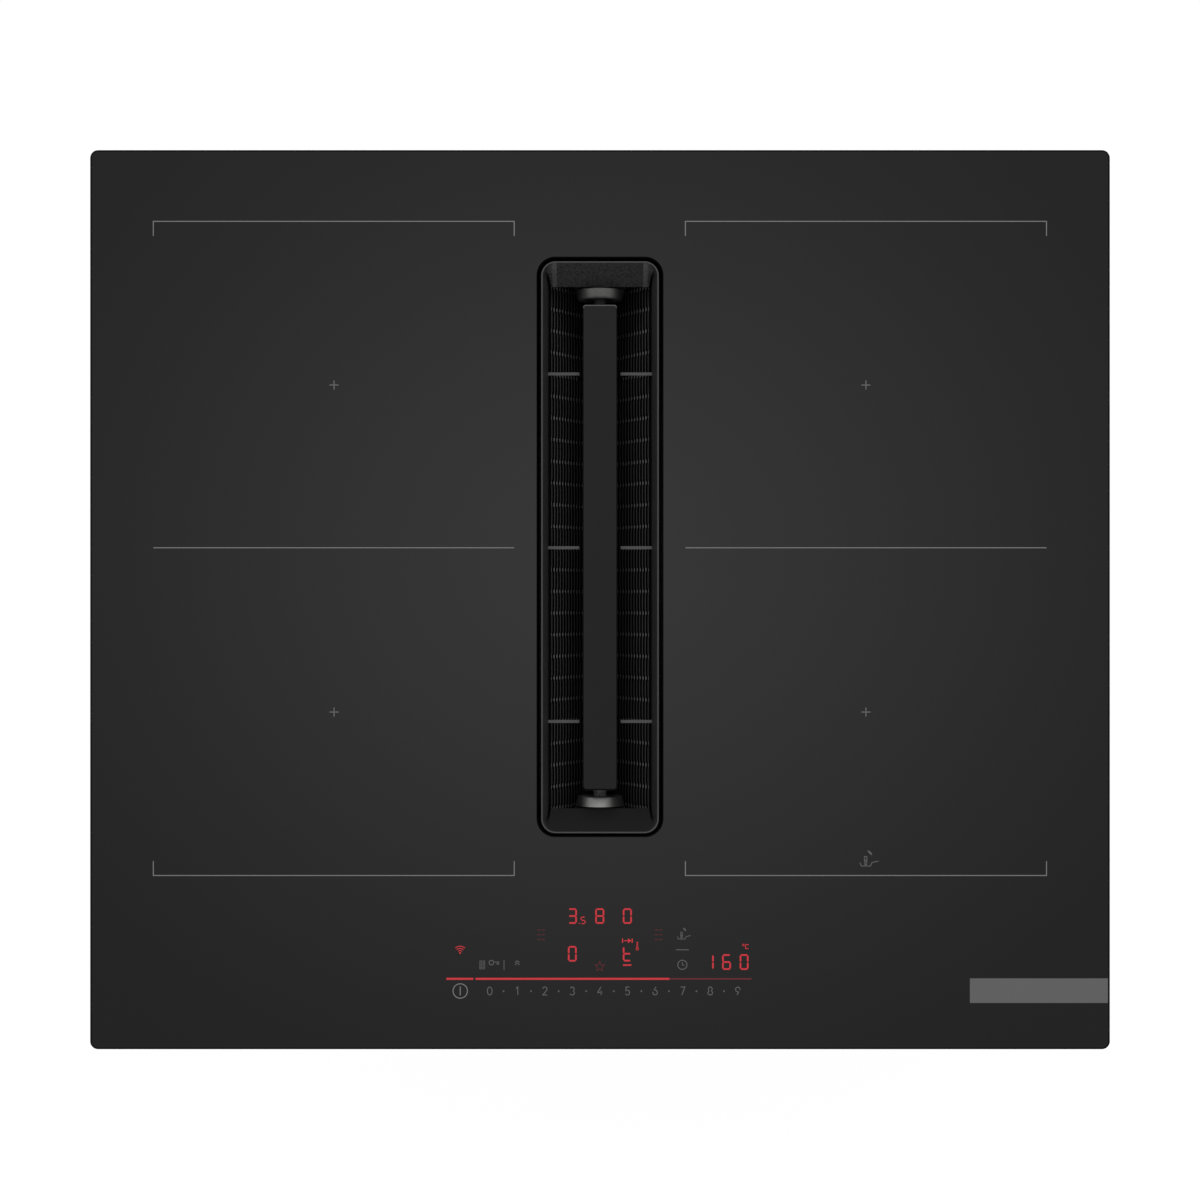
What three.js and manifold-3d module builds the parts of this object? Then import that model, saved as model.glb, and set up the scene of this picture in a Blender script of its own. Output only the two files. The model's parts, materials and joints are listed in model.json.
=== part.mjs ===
// A downdraft induction cooktop: black glass with a lift-out filter unit in the middle, coils and
// electronics in a steel tray below, and a radial fan that blows out at the back.
// Millimetres. +Z is up, +Y is the back, +X is the cook's right. The origin is the middle of the footprint,
// on the surface that the cooktop stands on before it is fitted.

import * as THREE from 'three';
import { mergeVertices } from 'three/addons/utils/BufferGeometryUtils.js';
import Module from 'manifold-3d';

const wasm = await Module();
wasm.setup();

// ---------------------------------------------------------------- driving dimensions

const GAP = 0.3; // left between pieces that touch
const SHEET = 1.2; // steel sheet
const WALL = 2.5; // moulded plastic wall

const TOP_Z = 223; // face of the glass
const GLASS = { halfX: 296, halfY: 261, thick: 4, radius: 5, bevel: 0.9 };
const GLASS_UNDER = TOP_Z - GLASS.thick;

const SEAT = { halfX: 294, halfY: 259, width: 10, thick: 1.7 }; // foam tape that lies on the worktop
const RING = { halfX: 278, halfY: 243, innerX: 252, innerY: 237.5, low: 215.6 };

// the opening in the glass and the well below it
const VENT = { y: 30.9, halfX: 36.35, halfY: 168.25, radius: 10.3 };
const WELL = { halfX: 38, halfY: 170, radius: 12, wall: 2, low: 100, floor: 2.5, top: 216.7, flange: 8 };
const WELL_LEDGE = { from: 149.5, top: 138.7 };
const WINDOW = { halfY: 93, low: 107.5, high: 151 }; // air leaves the well here, to the right

// the lift-out unit, measured from its own middle
const UNIT_Y = 30.4;
const RIM = { halfX: 34.2, halfY: 166.15, radius: 8.4, top: 221.5, width: 1 };
const SIDE_FOOT = { halfX: 31, z: 210 }; // where the sloping side walls end
const LIP = { y: 153.7, z: 196 }; // where the sloping end walls end
const END_PLATE = { thick: 4.8, low: 141 };
const MESH = { topX: 30.8, topZ: 209.6, lowZ: 147.7, slope: 2.356, thick: 2.6, halfY: 153.3 };
const SLOT = { pitch: 6.4, high: 3.2, rows: 9, low: 150.5, margin: 2.2 };
const KEEL = { halfX: 9, low: 143, top: 147.4 };
const RIB = { pitch: 102.2, wide: 1.7, top: 210.6, low: 208.2, legX: 12.3, leg: 2.2 };
const BAR = { halfX: 9.85, halfY: 141.25, low: 188, top: 220.5, chamfer: 1.2, wall: 3.6 };
const PIN = { z: 197, radius: 3.85, sunk: 4.5 };
const BOSS = { face: 146, back: 152, radius: 13.3, flare: 14.3, fillet: 2.8 };
const CATCH = { halfX: 28, halfY: 146, low: 114, top: 140.6, wall: 1.5, flange: 158 };

// steel tray
const TRAY = { halfX: 264, halfY: 238, radius: 6, low: 160, top: 215.3 };
const FLOOR_TOP = TRAY.low + SHEET;

// coils, two for each cooking zone, under the crosses
const COIL_X = 154.4;
const COIL_Y = [124.6, -65.2];
const COIL = { halfX: 93, halfY: 86, radius: 70, holeX: 28, holeY: 21, low: 208.8, thick: 4.5 };
const CARRIER = { halfX: 99, halfY: 91, low: 206, thick: 2.5, legX: 90, legY: 82, legRadius: 4 };

// electronics
const BOARD = { x: 154, y: 55, halfX: 82, halfY: 115, low: 168, thick: 1.6 };
const SINK = { x: 108, wide: 44, high: 26, halfY: 78, fins: 9 };
const COOLER = { x: 160, y: -186, half: 40, low: 161.5, high: 25, bore: 37.5, blades: 5 };
const CONTROL = { halfX: 112, front: -236.3, back: -166, low: 190, top: 215, wall: 1.6 };

// radial fan and its scroll housing
const FAN = { x: 152, y: -8, radius: 80, low: 12, top: 86, eye: 66, blades: 16 };
const SCROLL = { start: 70, from: 86, to: 114, top: 94.5, split: 48, inlet: 62 };
const INLET_RING = { neck: 76, flange: 79.5, low: 89.2 };
const MOUTH = { left: 44, right: 266, y: 206 };
const MOTOR = { radius: 41, foot: 44, top: 41, shaft: 3 };
const OUTLET = { wide: 222, high: 89, end: 244, flange: 3 }; // flat duct, outside sizes
const PLENUM = { left: 43.5, right: 262, front: -102, back: 127, low: 94.8, split: 97.3, top: 156.5 };

// liquid container below the well
const BAY = { left: -50, right: 43, front: -150, back: 70, top: 94, sheet: 1.5 };
const TANK = { left: -46, right: 39, front: -148, back: 66, low: 2, top: 62, wall: 2 };
const DRAIN = { y: -60, radius: 9, outlet: 66 };

// mains connection
const TERMINAL = { left: -240, right: -140, front: 160, back: 225, low: 122, top: 159.6 };
const GLAND = { x: -190, z: 141, radius: 9 };

// clamps that hold the cooktop in the worktop
const CLAMP = { x: 271.5, y: 150, low: 178, high: 14, reach: 34, halfWide: 5, bore: 2.6 };
const SCREW = { radius: 2.1, head: 4.5, headHigh: 3.8 };

// ---------------------------------------------------------------- materials

const finish = (color, roughness, metalness) => new THREE.MeshStandardMaterial({ color, roughness, metalness });
const LOOK = {
  glass: finish(0x1b1c1f, 0.12, 0),
  foam: finish(0x3a3b3d, 0.9, 0),
  steel: finish(0xa9adb0, 0.4, 0.9),
  cast: finish(0x4b4d50, 0.45, 0.7),
  mesh: finish(0x2f3134, 0.4, 0.8),
  bar: finish(0x2b2c2e, 0.5, 0.1),
  plastic: finish(0x232426, 0.6, 0),
  grey: finish(0x8b8f92, 0.6, 0),
  copper: finish(0xb06a3c, 0.35, 0.9),
  ceramic: finish(0xd8d6cf, 0.7, 0),
  board: finish(0x2c5a3c, 0.6, 0),
  aluminium: finish(0xc5c8ca, 0.35, 0.9),
  rubber: finish(0x1a1a1b, 0.9, 0),
};

// ---------------------------------------------------------------- solids

// a closed geometry as a solid that can be joined and cut
function solid(geometry) {
  const plain = geometry.index ? geometry.toNonIndexed() : geometry.clone();
  plain.deleteAttribute('normal');
  plain.deleteAttribute('uv');
  const merged = mergeVertices(plain, 1e-4);
  const vertProperties = new Float32Array(merged.attributes.position.array);
  const make = (triVerts) => new wasm.Manifold(new wasm.Mesh({ numProp: 3, vertProperties, triVerts }));
  const triVerts = new Uint32Array(merged.index.array);
  const made = make(triVerts);
  return made.volume() < 0 ? make(triVerts.toReversed()) : made;
}

const join = (...solids) => solids.reduce((a, b) => a.add(b));
const cut = (body, ...tools) => tools.reduce((a, b) => a.subtract(b), body);

function box(x0, x1, y0, y1, z0, z1) {
  const geometry = new THREE.BoxGeometry(x1 - x0, y1 - y0, z1 - z0);
  return solid(geometry.translate((x0 + x1) / 2, (y0 + y1) / 2, (z0 + z1) / 2));
}

// an upright cylinder
function rod(x, y, radius, z0, z1, sides = 24) {
  const geometry = new THREE.CylinderGeometry(radius, radius, z1 - z0, sides).rotateX(Math.PI / 2);
  return solid(geometry.translate(x, y, (z0 + z1) / 2));
}

// a cylinder that lies along Y
function pinAlongY(x, z, radius, y0, y1, sides = 24) {
  const geometry = new THREE.CylinderGeometry(radius, radius, y1 - y0, sides);
  return solid(geometry.translate(x, (y0 + y1) / 2, z));
}

// a turned piece: pairs of radius and height, about an upright axis
function turned(profile, sides = 32) {
  const points = profile.map(([r, z]) => new THREE.Vector2(r, z));
  return solid(new THREE.LatheGeometry(points, sides).rotateX(Math.PI / 2));
}

function outline(points) {
  return new THREE.Shape(points.map(([x, y]) => new THREE.Vector2(x, y)));
}

// corners of a rounded rectangle about a middle
function roundedPoints(halfX, halfY, radius, x = 0, y = 0, steps = 4) {
  const points = [];
  for (const [sx, sy, turn] of [[1, 1, 0], [-1, 1, 1], [-1, -1, 2], [1, -1, 3]]) {
    for (let i = 0; i <= steps; i++) {
      const angle = (Math.PI / 2) * (turn + i / steps);
      points.push([
        x + sx * (halfX - radius) + radius * Math.cos(angle),
        y + sy * (halfY - radius) + radius * Math.sin(angle),
      ]);
    }
  }
  return points;
}

const rounded = (...sizes) => outline(roundedPoints(...sizes));

// a plan outline, extruded upwards
function upright(shape, z0, z1) {
  const geometry = new THREE.ExtrudeGeometry(shape, { depth: z1 - z0, bevelEnabled: false });
  return solid(geometry.translate(0, 0, z0));
}

// an outline in X and Z, extruded along Y
function alongY(points, y0, y1) {
  const geometry = new THREE.ExtrudeGeometry(outline(points), { depth: y1 - y0, bevelEnabled: false });
  return solid(geometry.rotateX(Math.PI / 2).translate(0, y1, 0));
}

// a skin over rings that all have the same number of points
function loft(rings) {
  const count = rings[0].points.length;
  const position = rings.flatMap(({ z, points }) => points.flatMap(([x, y]) => [x, y, z]));
  const index = [];
  for (let k = 0; k + 1 < rings.length; k++) {
    for (let i = 0; i < count; i++) {
      const a = k * count + i;
      const b = k * count + ((i + 1) % count);
      index.push(a, b, b + count, a, b + count, a + count);
    }
  }
  const last = (rings.length - 1) * count;
  for (let i = 1; i + 1 < count; i++) {
    index.push(0, i + 1, i, last, last + i, last + i + 1);
  }
  const geometry = new THREE.BufferGeometry();
  geometry.setAttribute('position', new THREE.Float32BufferAttribute(position, 3));
  geometry.setIndex(index);
  return solid(geometry);
}

// ---------------------------------------------------------------- glass, seals and carrier frame

function glassTop() {
  const shape = rounded(GLASS.halfX, GLASS.halfY, GLASS.radius, 0, 0, 5);
  shape.holes.push(rounded(VENT.halfX, VENT.halfY, VENT.radius, 0, VENT.y, 6));
  const geometry = new THREE.ExtrudeGeometry(shape, {
    depth: GLASS.thick - 2 * GLASS.bevel,
    bevelThickness: GLASS.bevel,
    bevelSize: GLASS.bevel,
    bevelOffset: -GLASS.bevel,
    bevelSegments: 1,
  });
  return solid(geometry.translate(0, 0, GLASS_UNDER + GLASS.bevel));
}

function frameSolid(outer, inner, z0, z1) {
  const shape = outline(outer);
  shape.holes.push(outline(inner));
  return upright(shape, z0, z1);
}

function worktopSeal() {
  const outer = roundedPoints(SEAT.halfX, SEAT.halfY, 5);
  const inner = roundedPoints(SEAT.halfX - SEAT.width, SEAT.halfY - SEAT.width, 3);
  return frameSolid(outer, inner, GLASS_UNDER - GAP - SEAT.thick, GLASS_UNDER - GAP);
}

const clampSpots = [
  { name: 'front_right', sx: 1, sy: -1 },
  { name: 'front_left', sx: -1, sy: -1 },
  { name: 'rear_right', sx: 1, sy: 1 },
  { name: 'rear_left', sx: -1, sy: 1 },
];

function carrierFrame() {
  const outer = roundedPoints(RING.halfX, RING.halfY, 8);
  const inner = roundedPoints(RING.innerX, RING.innerY, 4);
  const ring = frameSolid(outer, inner, RING.low, GLASS_UNDER - GAP);
  const holes = clampSpots.map(({ sx, sy }) =>
    rod(sx * CLAMP.x, sy * CLAMP.y, SCREW.radius + GAP, RING.low - 1, GLASS_UNDER, 10));
  return cut(ring, ...holes);
}

// ---------------------------------------------------------------- lift-out filter unit

// the mesh's inner face at a height
const meshX = (z) => MESH.topX - (MESH.topZ - z) / MESH.slope;

function unitCavity() {
  const ring = (z, halfX, halfY, radius) => ({ z, points: roundedPoints(halfX, halfY, radius, 0, UNIT_Y, 5) });
  const rise = (SIDE_FOOT.z - LIP.z) / (RIM.top - LIP.z);
  const topX = RIM.halfX - RIM.width;
  const topY = RIM.halfY - RIM.width;
  const midY = LIP.y + rise * (topY - LIP.y);
  return loft([
    ring(LIP.z - 1, SIDE_FOOT.halfX, LIP.y, 5),
    ring(LIP.z, SIDE_FOOT.halfX, LIP.y, 5),
    ring(SIDE_FOOT.z, SIDE_FOOT.halfX, midY, 6),
    ring(RIM.top, topX, topY, RIM.radius - RIM.width),
    ring(RIM.top + 1, topX, topY, RIM.radius - RIM.width),
  ]);
}

// rim, with walls that slope in to the mesh at the sides and to a lip at the ends
function unitRim() {
  const shape = rounded(RIM.halfX, RIM.halfY, RIM.radius, 0, UNIT_Y, 5);
  const open = MESH.halfY + GAP;
  return cut(
    upright(shape, LIP.z, RIM.top),
    unitCavity(),
    box(-40, 40, UNIT_Y - open, UNIT_Y + open, LIP.z - 1, SIDE_FOOT.z),
  );
}

// the round boss that holds a pin, with its pillar; side is 1 at the back and -1 at the front
function pinBoss(side) {
  const profile = [
    [0, BOSS.face], [BOSS.radius - 0.6, BOSS.face], [BOSS.radius, BOSS.face + 0.6],
    [BOSS.flare, BOSS.back], [0, BOSS.back],
  ];
  const points = profile.map(([r, y]) => new THREE.Vector2(r, y));
  const round = new THREE.LatheGeometry(points, 32);
  if (side < 0) round.scale(1, -1, 1);
  const boss = solid(round.translate(0, UNIT_Y, PIN.z));
  const plan = [[-BOSS.flare + 1, BOSS.face + 0.8]];
  for (const turn of [-1, 1]) {
    for (let i = 0; i <= 4; i++) {
      const angle = (Math.PI / 8) * (turn < 0 ? i : 4 - i);
      const x = BOSS.flare + BOSS.fillet * (1 - Math.cos(angle));
      plan.push([turn * x, LIP.y + 0.5 - BOSS.fillet * (1 - Math.sin(angle))]);
    }
  }
  plan.push([BOSS.flare - 1, BOSS.face + 0.8]);
  const placed = plan.map(([x, y]) => [x, UNIT_Y + side * y]);
  return join(boss, upright(outline(placed), PIN.z - 24, LIP.z));
}

// a cross rib: level from the side wall, then down beside the bar and along the mesh to the keel
function crossRib(y) {
  const out = 0.4;
  const bottom = KEEL.top - 0.6;
  const bend = MESH.topZ - (MESH.topX - RIB.legX - RIB.leg - out) * MESH.slope;
  const half = [
    [RIB.legX, RIB.top], [RIB.legX, bend + 0.5],
    [meshX(bottom) - out - RIB.leg, bottom], [meshX(bottom) - out, bottom],
    [RIB.legX + RIB.leg, bend], [RIB.legX + RIB.leg, RIB.low],
    [meshX(RIB.low) - out, RIB.low], [MESH.topX - 0.3, MESH.topZ + GAP],
    [SIDE_FOOT.halfX + 1, MESH.topZ + GAP], [SIDE_FOOT.halfX + 1, RIB.top],
  ];
  const halves = [1, -1].map((sx) =>
    alongY(half.map(([x, z]) => [sx * x, z]), y - RIB.wide / 2, y + RIB.wide / 2));
  return join(...halves);
}

function filterFrame() {
  const parts = [unitRim()];
  for (const side of [1, -1]) {
    const inner = UNIT_Y + side * LIP.y;
    const outer = UNIT_Y + side * (LIP.y + END_PLATE.thick);
    const [y0, y1] = [Math.min(inner, outer), Math.max(inner, outer)];
    parts.push(box(-SIDE_FOOT.halfX, SIDE_FOOT.halfX, y0, y1, END_PLATE.low, LIP.z + 1));
    parts.push(pinBoss(side));
  }
  parts.push(box(-KEEL.halfX, KEEL.halfX, UNIT_Y - LIP.y - 1, UNIT_Y + LIP.y + 1, KEEL.low, KEEL.top));
  for (const k of [-1, 0, 1]) parts.push(crossRib(UNIT_Y + k * RIB.pitch));
  const holes = [];
  for (const side of [1, -1]) {
    const [y0, y1] = side > 0 ? [BOSS.face - 1, LIP.y + 1] : [-LIP.y - 1, -BOSS.face + 1];
    holes.push(pinAlongY(0, PIN.z, PIN.radius + GAP, UNIT_Y + y0, UNIT_Y + y1));
  }
  for (const k of [-1.5, -0.5, 0.5, 1.5]) {
    const middle = UNIT_Y + k * RIB.pitch * (Math.abs(k) > 1 ? 0.85 : 1);
    holes.push(box(-2.5, 2.5, middle - 22, middle + 22, KEEL.low - 1, KEEL.top + 1));
  }
  return cut(join(...parts), ...holes);
}

// louvred filter sheet; sx is 1 on the right and -1 on the left
function filterMesh(sx) {
  const top = MESH.topX;
  const low = meshX(MESH.lowZ);
  const section = [[top, MESH.topZ], [top + MESH.thick, MESH.topZ], [low + MESH.thick, MESH.lowZ], [low, MESH.lowZ]];
  const sheet = alongY(section.map(([x, z]) => [sx * x, z]), UNIT_Y - MESH.halfY, UNIT_Y + MESH.halfY);
  const slots = [];
  const ends = [-MESH.halfY, -RIB.pitch, 0, RIB.pitch, MESH.halfY];
  for (let row = 0; row < SLOT.rows; row++) {
    const z = SLOT.low + row * SLOT.pitch;
    const [near, far] = [meshX(z) - 3, meshX(z) + 6].map((x) => sx * x).sort((a, b) => a - b);
    for (let k = 0; k < 4; k++) {
      const y0 = UNIT_Y + ends[k] + SLOT.margin;
      const y1 = UNIT_Y + ends[k + 1] - SLOT.margin;
      slots.push(box(near, far, y0, y1, z, z + SLOT.high));
    }
  }
  return cut(sheet, join(...slots));
}

// grip bar: a deep channel, open below, with solid ends for the pins
function gripBar() {
  const c = BAR.chamfer;
  const section = [
    [BAR.halfX, BAR.low], [BAR.halfX, BAR.top - c], [BAR.halfX - c, BAR.top],
    [-BAR.halfX + c, BAR.top], [-BAR.halfX, BAR.top - c], [-BAR.halfX, BAR.low],
  ];
  const body = alongY(section, UNIT_Y - BAR.halfY, UNIT_Y + BAR.halfY);
  const channel = box(
    -BAR.halfX + BAR.wall, BAR.halfX - BAR.wall,
    UNIT_Y - BAR.halfY + 8, UNIT_Y + BAR.halfY - 8, BAR.low - 1, BAR.top - BAR.wall,
  );
  const tools = [channel];
  for (const side of [1, -1]) {
    const end = UNIT_Y + side * BAR.halfY;
    const chamfer = [[end + side * 1, BAR.top - c - 1], [end + side * 1, BAR.top + 1], [end - side * (c + 1), BAR.top + 1]];
    const wedge = new THREE.ExtrudeGeometry(outline(chamfer), { depth: 2 * BAR.halfX + 2, bevelEnabled: false });
    // the outline is in Y and Z here, so it is turned to run along X
    const turn = new THREE.Matrix4().makeBasis(
      new THREE.Vector3(0, 1, 0), new THREE.Vector3(0, 0, 1), new THREE.Vector3(1, 0, 0));
    tools.push(solid(wedge.applyMatrix4(turn).translate(-BAR.halfX - 1, 0, 0)));
    const sunk = end - side * (PIN.sunk + GAP);
    tools.push(pinAlongY(0, PIN.z, PIN.radius + GAP, Math.min(sunk, end + side), Math.max(sunk, end + side)));
  }
  return cut(body, ...tools);
}

function barPin(side) {
  const from = UNIT_Y + side * (BAR.halfY - PIN.sunk);
  const to = UNIT_Y + side * (LIP.y + 0.6);
  return pinAlongY(0, PIN.z, PIN.radius, Math.min(from, to), Math.max(from, to));
}

// the small tray under the mesh that catches grease and spills
function collectorTray() {
  const outer = upright(rounded(CATCH.halfX, CATCH.halfY, 6, 0, UNIT_Y), CATCH.low, CATCH.top);
  const flange = box(
    -CATCH.halfX + 4, CATCH.halfX - 4, UNIT_Y - CATCH.flange, UNIT_Y + CATCH.flange,
    CATCH.top - CATCH.wall, CATCH.top);
  const hollow = rounded(CATCH.halfX - CATCH.wall, CATCH.halfY - CATCH.wall, 5, 0, UNIT_Y);
  return cut(join(outer, flange), upright(hollow, CATCH.low + CATCH.wall, CATCH.top + 1));
}

// ---------------------------------------------------------------- air well

const wellPlan = (grow) => rounded(WELL.halfX + grow, WELL.halfY + grow, WELL.radius + grow, 0, VENT.y);

function airWell() {
  const shell = join(
    upright(wellPlan(WELL.wall), WELL.low, WELL.top),
    upright(wellPlan(WELL.flange), WELL.top - 2.2, WELL.top),
  );
  const hollow = upright(wellPlan(0), WELL.low + WELL.floor, WELL.top + 1);
  const ledges = [1, -1].map((side) => {
    const near = VENT.y + side * WELL_LEDGE.from;
    const far = VENT.y + side * (WELL.halfY + 1);
    return box(-WELL.halfX + 12, WELL.halfX - 12, Math.min(near, far), Math.max(near, far), WELL.low + 1, WELL_LEDGE.top);
  });
  const window = box(
    WELL.halfX - 1, WELL.halfX + WELL.wall + 1, VENT.y - WINDOW.halfY, VENT.y + WINDOW.halfY,
    WINDOW.low, WINDOW.high);
  const drain = rod(0, DRAIN.y, DRAIN.radius, WELL.low - 1, WELL.low + WELL.floor + 1);
  return cut(join(cut(shell, hollow), ...ledges), window, drain);
}

function wellSeal() {
  const outer = roundedPoints(WELL.halfX + WELL.flange, WELL.halfY + WELL.flange, WELL.radius + WELL.flange, 0, VENT.y);
  const inner = roundedPoints(WELL.halfX + 0.5, WELL.halfY + 0.5, WELL.radius, 0, VENT.y);
  return frameSolid(outer, inner, WELL.top + GAP, GLASS_UNDER - GAP);
}

function drainSpout() {
  const flange = WELL.low - GAP;
  const bore = DRAIN.radius - 2;
  return solidAt(0, DRAIN.y, [
    [bore, DRAIN.outlet], [DRAIN.radius, DRAIN.outlet], [DRAIN.radius, flange - 3],
    [DRAIN.radius + 6, flange - 3], [DRAIN.radius + 6, flange], [bore + 1.5, flange],
    [bore, flange - 8], [bore, DRAIN.outlet],
  ], 20);
}

// a turned piece moved to a place in the plan
function solidAt(x, y, profile, sides = 32) {
  return turned(profile, sides).translate([x, y, 0]);
}

// ---------------------------------------------------------------- tray, coils and electronics

function trayTools() {
  const tools = [upright(wellPlan(WELL.wall + 1.5), TRAY.low - 1, FLOOR_TOP + 1)];
  for (const sx of [-1, 1]) {
    for (let i = 0; i < 6; i++) {
      const x = sx * COOLER.x - 30 + 12 * i;
      const reach = i === 0 || i === 5 ? 20 : 30;
      tools.push(box(x - 2.5, x + 2.5, COOLER.y - reach, COOLER.y + reach, TRAY.low - 1, FLOOR_TOP + 1));
    }
    for (let i = 0; i < 6; i++) {
      const x = sx * (120 + 9 * i);
      tools.push(box(x - 1.9, x + 1.9, TRAY.halfY - 5, TRAY.halfY + 5, 178, 200));
    }
  }
  return tools;
}

function baseTray() {
  const outer = upright(rounded(TRAY.halfX, TRAY.halfY, TRAY.radius), TRAY.low, TRAY.top);
  const inner = rounded(TRAY.halfX - SHEET, TRAY.halfY - SHEET, TRAY.radius - SHEET);
  const sheet = cut(outer, upright(inner, FLOOR_TOP, TRAY.top + 1), ...trayTools());
  const pillars = [];
  for (const sx of [-1, 1]) {
    for (const [dx, dy] of [[1, 1], [-1, 1], [-1, -1], [1, -1]]) {
      const x = sx * BOARD.x + dx * (BOARD.halfX - 7);
      const y = BOARD.y + dy * (BOARD.halfY - 7);
      pillars.push(rod(x, y, 3.5, TRAY.low + 0.5, BOARD.low - GAP, 6));
    }
  }
  return join(sheet, ...pillars);
}

function coilCarrier(x, y) {
  const parts = [upright(rounded(CARRIER.halfX, CARRIER.halfY, 16, x, y, 3), CARRIER.low, CARRIER.low + CARRIER.thick)];
  const ferrites = [[0, 30, 10, 84], [0, -84, 10, -30], [36, -8, 90, 8], [-90, -8, -36, 8]];
  for (const [a, b, c, d] of ferrites) {
    const [x0, x1] = a === 0 ? [x - c, x + c] : [x + a, x + c];
    parts.push(box(x0, x1, y + b, y + d, CARRIER.low - 4, CARRIER.low + 1));
  }
  for (const [sx, sy] of [[1, 1], [-1, 1], [-1, -1], [1, -1]]) {
    const legX = x + sx * CARRIER.legX;
    const legY = y + sy * CARRIER.legY;
    parts.push(rod(legX, legY, CARRIER.legRadius, FLOOR_TOP + GAP, CARRIER.low + 1, 6));
  }
  return cut(join(...parts), rod(x, y, 7, CARRIER.low - 5, CARRIER.low + 5, 10));
}

function coilWinding(x, y) {
  const outer = roundedPoints(COIL.halfX, COIL.halfY, COIL.radius, x, y, 7);
  const inner = roundedPoints(COIL.holeX, COIL.holeY, COIL.holeY - 1, x, y, 4);
  return frameSolid(outer, inner, COIL.low, COIL.low + COIL.thick);
}

// spring-loaded temperature sensor in the middle of a coil
function coilSensor(x, y) {
  const base = CARRIER.low - 3;
  const top = GLASS_UNDER - GAP;
  return solidAt(x, y, [
    [0, base], [3, base], [3, COIL.low], [9, COIL.low], [9, COIL.low + 1.5],
    [5.5, COIL.low + 2.5], [5.5, top], [0, top],
  ], 12);
}

function powerBoard(sx) {
  const top = BOARD.low + BOARD.thick;
  const place = (dx, dy, w, d, h) => {
    const x = sx * (BOARD.x + dx);
    return box(x - w / 2, x + w / 2, BOARD.y + dy - d / 2, BOARD.y + dy + d / 2, top - 0.5, top + h);
  };
  const x0 = sx * BOARD.x;
  const sheet = box(x0 - BOARD.halfX, x0 + BOARD.halfX, BOARD.y - BOARD.halfY, BOARD.y + BOARD.halfY, BOARD.low, top);
  const parts = [sheet];
  for (const dy of [-70, -30, 10, 50]) parts.push(place(52, dy, 32, 18, 22));
  for (const dy of [-50, 30]) parts.push(rod(sx * (BOARD.x + 12), BOARD.y + dy, 15, top - 0.5, top + 20, 12));
  parts.push(place(10, 84, 40, 30, 24), place(-55, -98, 24, 12, 10), place(20, -98, 50, 10, 9));
  parts.push(place(10, -8, 26, 26, 16));
  return join(...parts);
}

function heatsink(sx) {
  const low = BOARD.low + BOARD.thick + GAP;
  const x0 = sx * SINK.x - SINK.wide / 2;
  const step = (SINK.wide - 1.6) / (SINK.fins - 1);
  const parts = [box(x0, x0 + SINK.wide, BOARD.y - SINK.halfY, BOARD.y + SINK.halfY, low, low + 4)];
  for (let i = 0; i < SINK.fins; i++) {
    const x = x0 + i * step;
    parts.push(box(x, x + 1.6, BOARD.y - SINK.halfY, BOARD.y + SINK.halfY, low + 1, low + SINK.high));
  }
  return join(...parts);
}

function coolingFanFrame(sx) {
  const x = sx * COOLER.x;
  const { y, low, high, half } = COOLER;
  const ring = cut(
    upright(rounded(half, half, 4, x, y, 2), low, low + high),
    rod(x, y, COOLER.bore, low - 1, low + high + 1, 28),
  );
  const struts = [
    box(x - half + 2, x + half - 2, y - 1.5, y + 1.5, low, low + 2.5),
    box(x - 1.5, x + 1.5, y - half + 2, y + half - 2, low, low + 2.5),
    rod(x, y, 14, low, low + 2.5, 16),
  ];
  return join(ring, ...struts);
}

function coolingFanRotor(sx) {
  const low = COOLER.low + 3.2;
  const high = COOLER.low + COOLER.high - 1;
  const parts = [rod(0, 0, 14, low, high, 16)];
  for (let i = 0; i < COOLER.blades; i++) {
    const blade = new THREE.BoxGeometry(23.5, 1.5, 24).rotateX(0.85);
    blade.translate(24, 0, (low + high) / 2).rotateZ((2 * Math.PI * i) / COOLER.blades);
    parts.push(solid(blade));
  }
  return join(...parts).translate([sx * COOLER.x, COOLER.y, 0]);
}

function controlHousing() {
  const { halfX, front, back, low, top, wall } = CONTROL;
  const tub = cut(
    box(-halfX, halfX, front, back, low, top),
    box(-halfX + wall, halfX - wall, front + wall, back - wall, low + wall, top + 1),
  );
  return cut(tub, box(-62, -38, back - 3, back + 1, low + 5, low + 11));
}

function displayBoard() {
  const low = CONTROL.low + 14;
  const top = low + 1.6;
  const parts = [box(-108, 108, CONTROL.front + 2.2, CONTROL.back - 2.2, low, top)];
  const displays = [[-4, 56, 20, -188], [-2, 50, 18, -209], [74, 30, 18, -209]];
  for (const [x, w, d, y] of displays) parts.push(box(x - w / 2, x + w / 2, y - d / 2, y + d / 2, top - 0.5, top + 8));
  for (let i = 0; i <= 5; i++) {
    const x = -81 + 33.2 * i;
    parts.push(rod(x, -225, 4, top - 0.5, GLASS_UNDER - 1, 8));
  }
  for (const x of [-100, 100]) parts.push(box(x - 4, x + 4, -200, -180, CONTROL.low + 2, low + 0.5));
  return join(...parts);
}

// the lead from the controls to the left power board
function displayCable() {
  const route = new THREE.CatmullRomCurve3([
    [-50, CONTROL.back + 1, 197.5], [-50, -159, 196.5], [-51, -148, 190], [-59, -135, 183], [-77, -119, 177.5],
    [-96, -96, 174.5], [-101, -76, 174.2], [-101, BOARD.y - BOARD.halfY + 10.4, 174.2],
  ].map((p) => new THREE.Vector3(...p)));
  const section = outline(Array.from({ length: 6 }, (_, i) => {
    const angle = (Math.PI / 3) * i;
    return [2.4 * Math.cos(angle), 2.4 * Math.sin(angle)];
  }));
  return solid(new THREE.ExtrudeGeometry(section, { steps: 16, extrudePath: route }));
}

// ---------------------------------------------------------------- fan

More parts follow.
